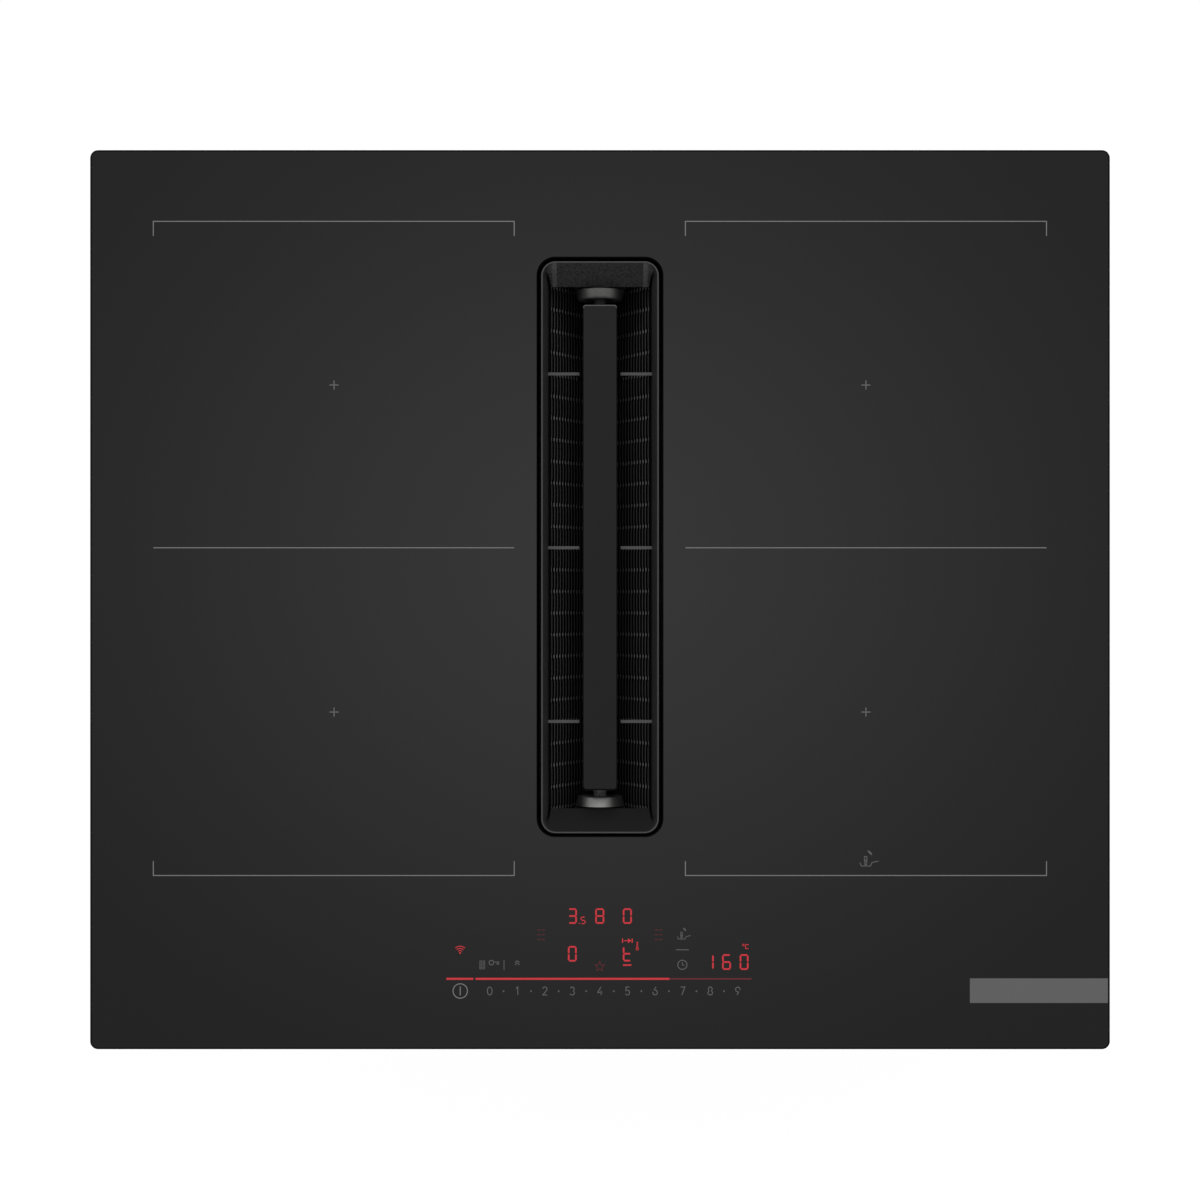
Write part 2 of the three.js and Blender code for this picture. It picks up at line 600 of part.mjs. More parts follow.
// plan of the scroll: a spiral, then a widening duct to the mouth at the back
function scrollPlan(inset, past) {
  const points = [];
  const turnEnd = 360;
  for (let a = SCROLL.start; a <= turnEnd + 0.1; a += (turnEnd - SCROLL.start) / 22) {
    const grown = (a - SCROLL.start) / (turnEnd - SCROLL.start);
    const r = SCROLL.from + (SCROLL.to - SCROLL.from) * grown - inset;
    const angle = THREE.MathUtils.degToRad(a);
    points.push([FAN.x + r * Math.cos(angle), FAN.y + r * Math.sin(angle)]);
  }
  const start = THREE.MathUtils.degToRad(SCROLL.start);
  const tongue = [FAN.x + SCROLL.from * Math.cos(start), FAN.y + SCROLL.from * Math.sin(start)];
  const run = [MOUTH.left - tongue[0], MOUTH.y - tongue[1]];
  const length = Math.hypot(...run);
  const normal = [run[1] / length, -run[0] / length];
  const slope = run[0] / run[1];
  points.push([MOUTH.right - inset, MOUTH.y + past]);
  points.push([MOUTH.left + normal[0] * inset + slope * past, MOUTH.y + normal[1] * inset + past]);
  if (inset > 0) {
    points.push([tongue[0] + normal[0] * inset, tongue[1] + normal[1] * inset]);
    points.push([tongue[0] + inset * 1.04, tongue[1]]);
  }
  return outline(points);
}

function fanHousingLower() {
  const { left, right, y } = MOUTH;
  const shell = cut(
    upright(scrollPlan(0, 0), 0, SCROLL.split),
    upright(scrollPlan(WALL, 0), WALL, SCROLL.split + 1),
    box(left + WALL, right - WALL, y - 6, y + 6, WALL, SCROLL.split + 1),
  );
  return shell;
}

function fanHousingUpper() {
  const { left, right, y } = MOUTH;
  const low = SCROLL.split + GAP;
  const ceiling = SCROLL.top - WALL;
  return cut(
    upright(scrollPlan(0, 0), low, SCROLL.top),
    upright(scrollPlan(WALL, 0), low - 1, ceiling),
    box(left + WALL, right - WALL, y - 6, y + 6, low - 1, ceiling),
    rod(FAN.x, FAN.y, INLET_RING.neck + GAP, ceiling - 1, SCROLL.top + 1, 28),
  );
}

// bell-mouthed ring, let into the housing from below and held by its flange
function fanInletRing() {
  const { neck, flange, low } = INLET_RING;
  const ceiling = SCROLL.top - WALL;
  const bore = SCROLL.inlet;
  return solidAt(FAN.x, FAN.y, [
    [bore, low], [flange, low], [flange, ceiling - GAP], [neck, ceiling - GAP], [neck, SCROLL.top],
    [bore + 1.6, SCROLL.top], [bore + 0.4, SCROLL.top - 1], [bore, SCROLL.top - 2.4], [bore, low],
  ], 28);
}

function outletCollar() {
  const x = (MOUTH.left + MOUTH.right) / 2;
  const z = SCROLL.top / 2;
  const [w, h] = [OUTLET.wide / 2, OUTLET.high / 2];
  const y = MOUTH.y + GAP;
  return cut(
    join(
      box(x - w - 1, x + w + 1, y, y + OUTLET.flange, z - h - 2.2, z + h + 2.2),
      box(x - w, x + w, y + 1, OUTLET.end, z - h, z + h),
    ),
    box(x - w + WALL, x + w - WALL, y - 1, OUTLET.end + 1, z - h + WALL, z + h - WALL),
  );
}

function impeller() {
  const { radius, eye, low, top } = FAN;
  const cup = turned([
    [radius, low], [radius, low + 2.5], [48.5, low + 2.5], [46.5, 47], [MOTOR.shaft + GAP, 47],
    [MOTOR.shaft + GAP, 44.5], [44, 44.5], [46, low], [radius, low],
  ], 28);
  const ring = turned([
    [radius - 6, top - 2.5], [radius, top - 2.5], [radius, top], [radius - 6, top], [radius - 6, top - 2.5],
  ], 28);
  const parts = [cup, ring];
  // each blade curves forwards, towards the turning direction
  const blade = outline([
    [eye, 0], [eye + 7, 1.2], [radius - 0.8, 6.2], [radius - 1.4, 7.4], [eye + 6.4, 2.8], [eye, 1.6],
  ]);
  for (let i = 0; i < FAN.blades; i++) {
    const geometry = new THREE.ExtrudeGeometry(blade, { depth: top - 1 - low - 1, bevelEnabled: false });
    parts.push(solid(geometry.translate(0, 0, low + 1).rotateZ((2 * Math.PI * i) / FAN.blades)));
  }
  return join(...parts).translate([FAN.x, FAN.y, 0]);
}

function fanMotor() {
  const { radius, foot, top, shaft } = MOTOR;
  const low = WALL + GAP;
  return solidAt(FAN.x, FAN.y, [
    [0, low], [foot, low], [foot, low + 3], [radius, low + 5], [radius, top - 3], [radius - 3, top],
    [shaft + 0.5, top], [shaft + 0.5, 14], [0, 14],
  ], 20);
}

function plenumPlan(grow) {
  const { left, right, front, back } = PLENUM;
  return rounded((right - left) / 2 + grow, (back - front) / 2 + grow, 14 + grow, (left + right) / 2, (front + back) / 2);
}

function plenumBase() {
  const { low, split } = PLENUM;
  const lip = solidAt(FAN.x, FAN.y, [
    [SCROLL.inlet, split - 1], [SCROLL.inlet, split + 3], [SCROLL.inlet + 4, split + 6],
    [SCROLL.inlet + 3, split - 1], [SCROLL.inlet, split - 1],
  ], 28);
  return cut(
    join(upright(plenumPlan(0), low, split), lip),
    rod(FAN.x, FAN.y, SCROLL.inlet, low - 1, split + 1, 28),
  );
}

function plenumCover() {
  const low = PLENUM.split + GAP;
  const neckLeft = WELL.halfX + WELL.wall + GAP;
  const neck = (grow, x0, x1) => box(
    x0, x1, VENT.y - WINDOW.halfY - grow, VENT.y + WINDOW.halfY + grow, WINDOW.low - grow, WINDOW.high + grow);
  const shell = join(upright(plenumPlan(0), low, PLENUM.top), neck(WALL, neckLeft, PLENUM.left + 1));
  const feet = [];
  for (const x of [PLENUM.left + 16, PLENUM.right - 16]) {
    for (const y of [PLENUM.front + 16, PLENUM.back - 16]) {
      feet.push(rod(x, y, 7, PLENUM.top - 1, TRAY.low - GAP, 8));
    }
  }
  return cut(join(shell, ...feet), upright(plenumPlan(-WALL), low - 1, PLENUM.top - WALL), neck(0, neckLeft - 1, PLENUM.left + 6));
}

// ---------------------------------------------------------------- container, terminal and clamps

function containerBay() {
  const { left, right, front, back, top, sheet } = BAY;
  const tub = cut(
    box(left, right, front, back, 0, top),
    box(left + sheet, right - sheet, front - 1, back - sheet, sheet, top + 1),
  );
  const flange = box(left, left + 12, front, back, top - sheet, top);
  const posts = [front + 6, back - 6].map((y) => box(left, left + 12, y - 5, y + 5, top - 1, WELL.low - GAP));
  return join(tub, flange, ...posts);
}

function overflowContainer() {
  const { left, right, front, back, low, top, wall } = TANK;
  const middle = (left + right) / 2;
  const tub = cut(
    box(left, right, front, back, low, top),
    box(left + wall, right - wall, front + wall, back - wall, low + wall, top + 1),
  );
  const grip = join(
    box(middle - 28, middle + 28, front, front + wall, top - 1, top + 12),
    box(middle - 28, middle + 28, front - 7, front + wall, top + 10, top + 12),
  );
  return join(tub, grip);
}

function terminalBox() {
  const { left, right, front, back, low, top } = TERMINAL;
  const tub = cut(
    box(left, right, front, back, low, top),
    box(left + WALL, right - WALL, front + WALL, back - WALL, low - 1, top - WALL),
  );
  return cut(tub, pinAlongY(GLAND.x, GLAND.z, GLAND.radius + GAP, back - WALL - 1, back + 1));
}

function terminalCover() {
  const { left, right, front, back, low } = TERMINAL;
  return join(
    box(left, right, front, back, low - GAP - 2, low - GAP),
    box(left + 3, right - 3, front + 3, back - 3, low - GAP - 1, low + 2.5),
  );
}

function terminalBlock() {
  const top = TERMINAL.top - WALL - GAP;
  const parts = [box(-222, -162, 172, 190, top - 16, top)];
  for (let i = 0; i < 5; i++) parts.push(rod(-214 + 12 * i, 181, 3.5, top - 19, top - 15, 6));
  return join(...parts);
}

function cableGland() {
  const back = TERMINAL.back;
  const r = GLAND.radius;
  const nut = (y0, y1) => pinAlongY(GLAND.x, GLAND.z, r + 3.5, y0, y1, 6);
  return cut(
    join(
      pinAlongY(GLAND.x, GLAND.z, r, back - WALL - 6, back + 12, 14),
      nut(back - WALL - 4.5, back - WALL - GAP),
      nut(back + GAP, back + 8),
    ),
    pinAlongY(GLAND.x, GLAND.z, 5, back - 20, back + 20, 10),
  );
}

// folded in, each arm lies along the tray's side, pointing to the middle
function worktopClamp({ sx, sy }) {
  const { halfWide, reach, bore, low, high } = CLAMP;
  const plan = [];
  for (let i = 0; i <= 6; i++) {
    const angle = Math.PI * (1 + i / 6);
    plan.push([halfWide * Math.cos(angle), halfWide * Math.sin(angle)]);
  }
  plan.push([halfWide, reach - 2], [halfWide - 2, reach], [-halfWide + 2, reach], [-halfWide, reach - 2]);
  const arm = cut(
    upright(outline(plan), low, low + high),
    rod(0, 0, bore, low - 1, low + high + 1, 12),
    box(-halfWide - 1, halfWide + 1, 12, reach + 1, low - 1, low + 5),
  );
  return arm.rotate([0, 0, sy > 0 ? 180 : 0]).translate([sx * CLAMP.x, sy * CLAMP.y, 0]);
}

function clampScrew({ sx, sy }) {
  const seat = CLAMP.low - GAP;
  const under = seat - SCREW.headHigh;
  return cut(
    solidAt(sx * CLAMP.x, sy * CLAMP.y, [
      [0, under], [SCREW.head, under], [SCREW.head, seat], [SCREW.radius, seat],
      [SCREW.radius, GLASS_UNDER - 0.8], [0, GLASS_UNDER - 0.8],
    ], 10),
    rod(sx * CLAMP.x, sy * CLAMP.y, 2.2, under - 1, under + 2, 6),
  );
}

// ---------------------------------------------------------------- assembly

const cooktop = new THREE.Group();

function place(name, body, material) {
  const { numProp, vertProperties, triVerts } = body.getMesh();
  const position = new Float32Array((vertProperties.length / numProp) * 3);
  for (let i = 0; i * 3 < position.length; i++) {
    position.set(vertProperties.subarray(i * numProp, i * numProp + 3), i * 3);
  }
  const geometry = new THREE.BufferGeometry();
  geometry.setAttribute('position', new THREE.BufferAttribute(position, 3));
  geometry.setIndex(new THREE.BufferAttribute(new Uint32Array(triVerts), 1));
  geometry.computeVertexNormals();
  const mesh = new THREE.Mesh(geometry, material);
  mesh.name = name;
  cooktop.add(mesh);
}

place('glass_top', glassTop(), LOOK.glass);
place('worktop_seal', worktopSeal(), LOOK.foam);
place('carrier_frame', carrierFrame(), LOOK.steel);
place('base_tray', baseTray(), LOOK.steel);

place('filter_frame', filterFrame(), LOOK.cast);
place('filter_mesh_right', filterMesh(1), LOOK.mesh);
place('filter_mesh_left', filterMesh(-1), LOOK.mesh);
place('grip_bar', gripBar(), LOOK.bar);
place('bar_pin_rear', barPin(1), LOOK.cast);
place('bar_pin_front', barPin(-1), LOOK.cast);
place('collector_tray', collectorTray(), LOOK.plastic);

place('air_well', airWell(), LOOK.plastic);
place('well_seal', wellSeal(), LOOK.rubber);
place('drain_spout', drainSpout(), LOOK.plastic);

for (const [side, sx] of [['right', 1], ['left', -1]]) {
  for (const [row, y] of [['rear', COIL_Y[0]], ['front', COIL_Y[1]]]) {
    place(`coil_carrier_${row}_${side}`, coilCarrier(sx * COIL_X, y), LOOK.aluminium);
    place(`coil_winding_${row}_${side}`, coilWinding(sx * COIL_X, y), LOOK.copper);
    place(`coil_sensor_${row}_${side}`, coilSensor(sx * COIL_X, y), LOOK.ceramic);
  }
  place(`power_board_${side}`, powerBoard(sx), LOOK.board);
  place(`heatsink_${side}`, heatsink(sx), LOOK.aluminium);
  place(`cooling_fan_frame_${side}`, coolingFanFrame(sx), LOOK.plastic);
  place(`cooling_fan_rotor_${side}`, coolingFanRotor(sx), LOOK.plastic);
}
place('control_housing', controlHousing(), LOOK.plastic);
place('display_board', displayBoard(), LOOK.board);
place('display_cable', displayCable(), LOOK.grey);

place('fan_housing_lower', fanHousingLower(), LOOK.plastic);
place('fan_housing_upper', fanHousingUpper(), LOOK.plastic);
place('fan_inlet_ring', fanInletRing(), LOOK.grey);
place('fan_motor', fanMotor(), LOOK.steel);
place('motor_shaft', rod(FAN.x, FAN.y, MOTOR.shaft, 14.5, 54, 10), LOOK.steel);
place('impeller', impeller(), LOOK.grey);
place('plenum_base', plenumBase(), LOOK.plastic);
place('plenum_cover', plenumCover(), LOOK.plastic);
place('outlet_collar', outletCollar(), LOOK.plastic);

place('container_bay', containerBay(), LOOK.steel);
place('overflow_container', overflowContainer(), LOOK.grey);
place('terminal_box', terminalBox(), LOOK.plastic);
place('terminal_cover', terminalCover(), LOOK.plastic);
place('terminal_block', terminalBlock(), LOOK.ceramic);
place('cable_gland', cableGland(), LOOK.plastic);

for (const spot of clampSpots) {
  place(`worktop_clamp_${spot.name}`, worktopClamp(spot), LOOK.steel);
  place(`clamp_screw_${spot.name}`, clampScrew(spot), LOOK.steel);
}

export default cooktop;
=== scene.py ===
"""The looks of a downdraft induction cooktop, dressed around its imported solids.

Shapes are written in millimetres in the row frame: +X right, +Y back, +Z up.
"""

import json
import math

import bpy
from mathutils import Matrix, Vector


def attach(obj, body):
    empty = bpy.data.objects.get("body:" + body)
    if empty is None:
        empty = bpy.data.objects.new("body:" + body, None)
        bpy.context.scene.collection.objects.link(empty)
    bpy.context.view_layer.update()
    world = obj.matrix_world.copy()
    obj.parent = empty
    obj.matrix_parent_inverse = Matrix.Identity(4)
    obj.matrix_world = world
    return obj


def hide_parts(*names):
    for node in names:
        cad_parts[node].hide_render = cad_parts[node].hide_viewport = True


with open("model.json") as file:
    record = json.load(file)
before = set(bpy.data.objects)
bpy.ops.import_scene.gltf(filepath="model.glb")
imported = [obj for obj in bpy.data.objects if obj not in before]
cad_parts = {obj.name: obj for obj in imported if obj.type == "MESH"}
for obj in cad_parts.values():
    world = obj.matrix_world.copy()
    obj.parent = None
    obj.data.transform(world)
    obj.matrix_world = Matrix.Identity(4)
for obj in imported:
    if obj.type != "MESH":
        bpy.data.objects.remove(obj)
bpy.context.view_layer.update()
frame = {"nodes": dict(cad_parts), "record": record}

MM = 0.001
PIXEL = 0.58005  # one pixel of the photograph on the glass, in millimetres
MIDDLE = (600.0, 599.6)  # the pixel over the middle of the glass

TOP_Z = 222.97  # face of the glass
PRINT_Z = TOP_Z + 0.015  # the printed marks lie just above it
GLASS_LOW = 219.0
GLASS = {"y": 0.0, "half_x": 296.0, "half_y": 261.0, "radius": 4.6, "bevel": 1.1}
VENT = {"y": 30.6, "half_x": 36.35, "half_y": 167.95, "radius": 10.3}

UNIT_Y = 30.4  # middle of the lift-out unit, from front to back
RIM = {"half_x": 34.2, "half_y": 166.15, "radius": 8.4, "top": 221.5, "width": 1.0}
FOOT = {"x": 30.2, "z": 210.0}  # the side walls end here
LIP = {"y": 152.4, "z": 211.0}  # the end walls end here
END_PLATE = {"near": 157.1, "far": 158.5, "low": 141.0}  # upright plates below the end walls
MESH = {"top_x": 30.8, "top_z": 209.6, "slope": 2.356, "half_y": 156.9}  # slope is down for each inward
CELL = 12.775  # from bridge to bridge along a slat
RIB_PITCH = 101.65  # from cross rib to cross rib
BAR = {"half_x": 9.95, "half_y": 141.25, "low": 188.0, "top": 220.5}
PIN = {"z": 197.0, "radius": 3.85}

# what hangs under the glass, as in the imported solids
TRAY = {"half_x": 264.0, "half_y": 238.0, "low": 160.0}
FAN = {"x": 152.0, "y": -8.0, "top": 94.5, "split": 48.0, "inlet": 76.4}
SCROLL = {"start": 70.0, "from": 86.0, "to": 114.0}  # the spiral's first angle, first and last radius
MOUTH = {"left": 44.0, "right": 266.0, "y": 206.0}
OUTLET = {"z": 47.25, "half_x": 111.0, "half_z": 44.5}
PLENUM = {"left": 43.5, "right": 262.0, "front": -102.0, "back": 127.0, "radius": 14.0}
TANK = {"left": -46.0, "right": 39.0, "front": -148.0}
TERMINAL = {"left": -240.0, "right": -140.0, "front": 160.0, "back": 225.0, "low": 119.7, "top": 159.6}
GLAND = {"x": -190.0, "z": 141.0}
CLAMP = {"x": 271.5, "y": 150.0}


# ---------------------------------------------------------------- shader values and finishes


class Value:
    """A shader socket that can stand in a sum: each operator adds its Math node."""

    def __init__(self, nodes, socket):
        self.nodes = nodes
        self.socket = socket

    def _math(self, operation, *values):
        return self.nodes.node("Math", {"operation": operation}, values)

    def __add__(self, other):
        return self._math("ADD", self, other)

    def __sub__(self, other):
        return self._math("SUBTRACT", self, other)

    def __rsub__(self, other):
        return self._math("SUBTRACT", other, self)

    def __mul__(self, other):
        return self._math("MULTIPLY", self, other)

    def __pow__(self, other):
        return self._math("POWER", self, other)

    def __abs__(self):
        return self._math("ABSOLUTE", self)

    __radd__ = __add__
    __rmul__ = __mul__


class Nodes:
    """A tree of nodes, which one method fills."""

    def __init__(self, tree, family="ShaderNode"):
        self.tree = tree
        self.family = family

    def feed(self, socket, value):
        if isinstance(value, Value):
            self.tree.links.new(value.socket, socket)
        elif isinstance(value, tuple) and len(value) == 3 and socket.type == "RGBA":
            socket.default_value = (*value, 1.0)
        else:
            socket.default_value = value

    def node(self, kind, settings=None, inputs=(), output=0):
        """Adds a node of that type, with its settings and the values or links of its sockets."""
        made = self.tree.nodes.new(self.family + kind)
        for name, value in (settings or {}).items():
            setattr(made, name, value)
        pairs = inputs.items() if isinstance(inputs, dict) else enumerate(inputs)
        for key, value in pairs:
            self.feed(made.inputs[key], value)
        return Value(self, made.outputs[output])


class Finish(Nodes):
    """One procedural material. What is the same all over goes straight onto the shader's sockets."""

    def __init__(self, name, **sockets):
        self.material = bpy.data.materials.new(name)
        self.material.use_nodes = True
        super().__init__(self.material.node_tree)
        self.shader = self.tree.nodes["Principled BSDF"]
        self.set(**sockets)

    def set(self, **links):
        for socket, value in links.items():
            self.feed(self.shader.inputs[socket.replace("_", " ")], value)
        return self

    def place(self, stretch=(1.0, 1.0, 1.0)):
        """Where a point is on the piece, in millimetres, stretched along the axes."""
        where = self.node("TexCoord", output="Object")
        size = tuple(s / MM for s in stretch)
        return self.node("VectorMath", {"operation": "MULTIPLY"}, (where, size))

    def axis(self, letter):
        return self.node("SeparateXYZ", inputs=(self.place(),), output=letter)

    def noise(self, size, detail=2.0, stretch=(1.0, 1.0, 1.0)):
        """Soft noise from 0 to 1, with features of that size in millimetres."""
        inputs = {"Vector": self.place(stretch), "Scale": 1.0 / size, "Detail": detail}
        return self.node("TexNoise", inputs=inputs)

    def cells(self, size, output="Distance"):
        """Cells of that size in millimetres, as a tone for each or as the distance from its middle."""
        return self.node("TexVoronoi", inputs={"Vector": self.place(), "Scale": 1.0 / size}, output=output)

    def ramp(self, value, low, high):
        """0 below low, 1 above high, and smooth in between."""
        settings = {"interpolation_type": "SMOOTHSTEP", "clamp": True}
        return self.node("MapRange", settings, {"Value": value, "From Min": low, "From Max": high})

    def mix(self, factor, a, b):
        """From colour a to colour b, which are sockets 6 and 7 of the Mix node."""
        return self.node("Mix", {"data_type": "RGBA"}, {0: factor, 6: a, 7: b}, 2)

    def bump(self, height, depth):
        """Height from 0 to 1 as relief that deep in millimetres."""
        return self.node("Bump", inputs={"Height": height, "Distance": depth * MM, "Strength": 1.0})


def shade(colour, factor):
    """A colour made darker or lighter by a factor."""
    return tuple(min(1.0, c * factor) for c in colour)


def moulded(name, colour, roughness, grain, depth):
    """Moulded plastic: a fine spark-eroded grain, slightly uneven gloss, faint flow marks."""
    f = Finish(name)
    patches = f.noise(38.0, 3.0)
    speck = f.noise(grain, 2.0)
    colours = f.mix(patches, shade(colour, 0.86), shade(colour, 1.14))
    uneven = roughness + (patches - 0.5) * 0.16 + (speck - 0.5) * 0.1
    return f.set(Base_Color=colours, Roughness=uneven, Normal=f.bump(speck, depth))


def galvanised():
    """Zinc-coated sheet: large crystals that differ in grey and gloss."""
    f = Finish("galvanised_sheet", Metallic=1.0)
    crystal = f.cells(6.0, output="Color")
    tone = f.node("SeparateColor", inputs=(crystal,), output="Red")
    haze = f.noise(60.0, 4.0)
    rolled = f.noise(1.1, 3.0, stretch=(0.04, 1.0, 1.0))
    amount = tone * 0.45 + haze * 0.35 + rolled * 0.2
    colours = f.mix(amount, (0.4, 0.413, 0.422), (0.58, 0.594, 0.606))
    gloss = 0.34 + tone * 0.1 + haze * 0.14
    return f.set(Base_Color=colours, Roughness=gloss, Normal=f.bump(rolled, 0.012))


def plated(name, colour, roughness, streak):
    """Plated or turned metal with fine tool marks across the given direction."""
    f = Finish(name, Metallic=1.0)
    marks = f.noise(0.5, 3.0, stretch=streak)
    haze = f.noise(16.0, 4.0)
    colours = f.mix(haze, shade(colour, 0.84), shade(colour, 1.12))
    gloss = roughness + (marks - 0.5) * 0.16 + (haze - 0.5) * 0.1
    return f.set(Base_Color=colours, Roughness=gloss, Normal=f.bump(marks, 0.01))


def black_glass():
    """Ceramic glass, black right through, with faint wiping marks and a painted reflection: the colour is
    lighter around the middle of the plate and darker towards its edges.
    """
    f = Finish("black_glass", Specular_IOR_Level=0.22, IOR=1.5)
    x = f.axis("X") + 4.0
    y = f.axis("Y") - 22.0
    far = (x * x * 0.88 + y * y * 1.1) ** 0.5
    # painted reflection: a lighter colour around the middle, where the glass mirrors the soft light above
    glow = 1.0 - f.ramp(far, -30.0, 390.0)
    wiped = f.noise(90.0, 3.0, stretch=(0.3, 1.0, 1.0))
    colours = f.mix(glow, (0.0089, 0.0089, 0.0091), (0.0322, 0.0322, 0.0325))
    gloss = 0.14 + (wiped - 0.5) * 0.04
    ripple = f.noise(26.0, 1.0)
    return f.set(Base_Color=colours, Roughness=gloss, Normal=f.bump(ripple, 0.003))


def speckled(name, dark, light, size=0.8, detail=2.0, roughness=0.7, uneven=0.15, depth=0.01, **shine):
    """One fine grain in colour, gloss and relief: ground glass, the near-black painted shade deep in the
    unit, ceramic.
    """
    f = Finish(name, **shine)
    grain = f.noise(size, detail)
    gloss = roughness + grain * uneven
    return f.set(Base_Color=f.mix(grain, dark, light), Roughness=gloss, Normal=f.bump(grain, depth))


def at_the_back(finish):
    """1 at the back of the opening and 0 at its front."""
    return finish.ramp(finish.axis("Y"), 60.0, 170.0)


def panel_coating():
    """Satin coat on the end walls: coarse grain at the back, smooth at the front, and painted light that
    makes the back wall much lighter than the front one.
    """
    f = Finish("panel_coating", Specular_IOR_Level=0.12)
    grain = f.noise(1.25, 2.0)
    back = at_the_back(f)
    # painted light: the colour is lighter at the back of the opening; the grain itself is the coat's own
    amount = 0.03 + back * 0.63 + (grain - 0.5) * (0.03 + back * 2.2)
    colours = f.mix(amount, (0.003, 0.003, 0.0032), (0.03, 0.0302, 0.0306))
    relief = grain * (0.08 + back * 0.92)
    return f.set(Base_Color=colours, Roughness=0.5 + (grain - 0.5) * 0.2, Normal=f.bump(relief, 0.1))


def corner_coating():
    """The strips beside the end walls: a painted highlight on the rear strips, strongest next to the panel
    and near the rim, and plain at the front.
    """
    f = Finish("corner_coating", Specular_IOR_Level=0.12)
    grain = f.noise(1.25, 2.0)
    back = at_the_back(f)
    inward = f.ramp(abs(f.axis("X")), 28.6, 27.0)
    upper = f.ramp(f.axis("Y"), 188.0, 195.0)
    # painted highlight: lighter at the back, next to the panel and near the rim
    amount = 0.02 + back * (0.2 + inward * 0.55 + upper * 0.28) + (grain - 0.5) * (0.03 + back * 1.3)
    colours = f.mix(amount, (0.003, 0.003, 0.0032), (0.07, 0.0704, 0.0712))
    return f.set(Base_Color=colours, Roughness=0.5 + (grain - 0.5) * 0.2, Normal=f.bump(grain, 0.05))


def cast_coating():
    """The casting's satin coat elsewhere: painted light on the side walls and painted shade below them."""
    f = Finish("cast_coating", Specular_IOR_Level=0.25)
    grain = f.noise(0.8, 3.0)
    patches = f.noise(24.0, 2.0)
    high = f.ramp(f.axis("Z"), 203.0, 212.0)
    # painted shade: the colour turns near black below the side walls, deep in the unit
    amount = high * (0.8 + (patches - 0.5) * 0.3 + (grain - 0.5) * 0.4)
    colours = f.mix(amount, (0.0024, 0.0024, 0.0026), (0.036, 0.0362, 0.0368))
    return f.set(Base_Color=colours, Roughness=0.48 + (grain - 0.5) * 0.14, Normal=f.bump(grain, 0.02))


def rim_coating(name, light):
    """Rim and ribs: the coat is painted lighter on top, where light falls, and painted darker further down
    the ribs.
    """
    f = Finish(name, Specular_IOR_Level=0.4)
    grain = f.noise(0.6, 2.0)
    high = f.ramp(f.axis("Z"), 202.0, 209.6)
    # painted light and shade: light high up, near black lower down
    colours = f.mix(high * (0.85 + grain * 0.15), (0.003, 0.003, 0.0031), (light, light, light * 1.02))
    return f.set(Base_Color=colours, Roughness=0.42 + grain * 0.1, Normal=f.bump(grain, 0.015))


def boss_metal():
    """Bare turned metal under a thin grey lacquer, with painted light: lighter at the front, a painted
    highlight along the middle and painted shade on the flanks.
    """
    f = Finish("boss_metal", Metallic=0.85)
    rings = f.noise(0.35, 2.0, stretch=(0.15, 1.0, 0.15))
    haze = f.noise(4.0, 3.0)
    front = 1.0 - at_the_back(f)
    # painted highlight and shade: the front boss is lighter, brightest along its middle and darker off it,
    # and both bosses darker on their flanks
    painted_side_shade = f.ramp(abs(f.axis("X") + 2.2), 4.0, 11.0)
    grit = f.noise(0.9, 2.0)
    flank = f.ramp(abs(f.axis("X") + 0.7), 8.5, 13.0)
    amount = rings * 0.2 + haze * 0.24 + grit * 0.22 + front * (0.48 - painted_side_shade * 0.9) - flank * 0.4
    colours = f.mix(amount, (0.09, 0.09, 0.088), (0.36, 0.358, 0.351))
    return f.set(Base_Color=colours, Roughness=0.42 + haze * 0.1, Normal=f.bump(rings, 0.02))


def louvre_coating(name, low_z, dark, light, roughness, shine):
    """Dark coat on the stamped louvres, painted lighter where they lie high and darker deep down, and with a
    painted highlight on the bridges.
    """
    f = Finish(name, Specular_IOR_Level=shine)
    high = f.ramp(f.axis("Z"), low_z, 212.0)
    grain = f.noise(0.8, 2.0)
    # painted light and shade: lighter high up, near black deep in the unit
    colours = f.mix(high * 0.85 + grain * 0.15, dark, light)
    return f.set(Base_Color=colours, Roughness=roughness + grain * 0.12, Normal=f.bump(grain, 0.01))


def bar_coating(name, dark, light, shine=0.22):
    """Satin black coat of the grip bar, in the tone given: the face's own, the painted highlight of the rear
    edge, the painted shade of the others.
    """
    f = Finish(name, Specular_IOR_Level=shine)
    grain = f.noise(0.5, 2.0)
    patches = f.noise(40.0, 2.0)
    colours = f.mix(grain * 0.5 + patches * 0.5, (dark, dark, dark * 1.03), (light, light, light * 1.03))
    return f.set(Base_Color=colours, Roughness=0.46 + (grain - 0.5) * 0.12, Normal=f.bump(grain, 0.012))


def pin_coating():
    """Coated pins, painted lighter at the front of the opening and darker at the back: painted light and
    shade.
    """
    f = Finish("pin_coating", Specular_IOR_Level=0.4)
    marks = f.noise(0.5, 2.0, stretch=(0.2, 1.0, 0.2))
    front = 1.0 - at_the_back(f)
    # painted light: the front pin is lighter than the rear one
    colours = f.mix(marks * 0.3 + front * 0.6, (0.02, 0.02, 0.0202), (0.22, 0.22, 0.221))
    return f.set(Base_Color=colours, Roughness=0.4 + marks * 0.12, Normal=f.bump(marks, 0.012))


def printed(name, dark, light):
    """Thin ceramic print, a little broken where the screen's threads were."""
    f = Finish(name, Specular_IOR_Level=0.3)
    threads = f.noise(0.3, 1.0)
    haze = f.noise(30.0, 2.0)
    colours = f.mix(threads * 0.6 + haze * 0.4, (dark, dark, dark), (light, light, light))
    return f.set(Base_Color=colours, Roughness=0.42 + threads * 0.1)


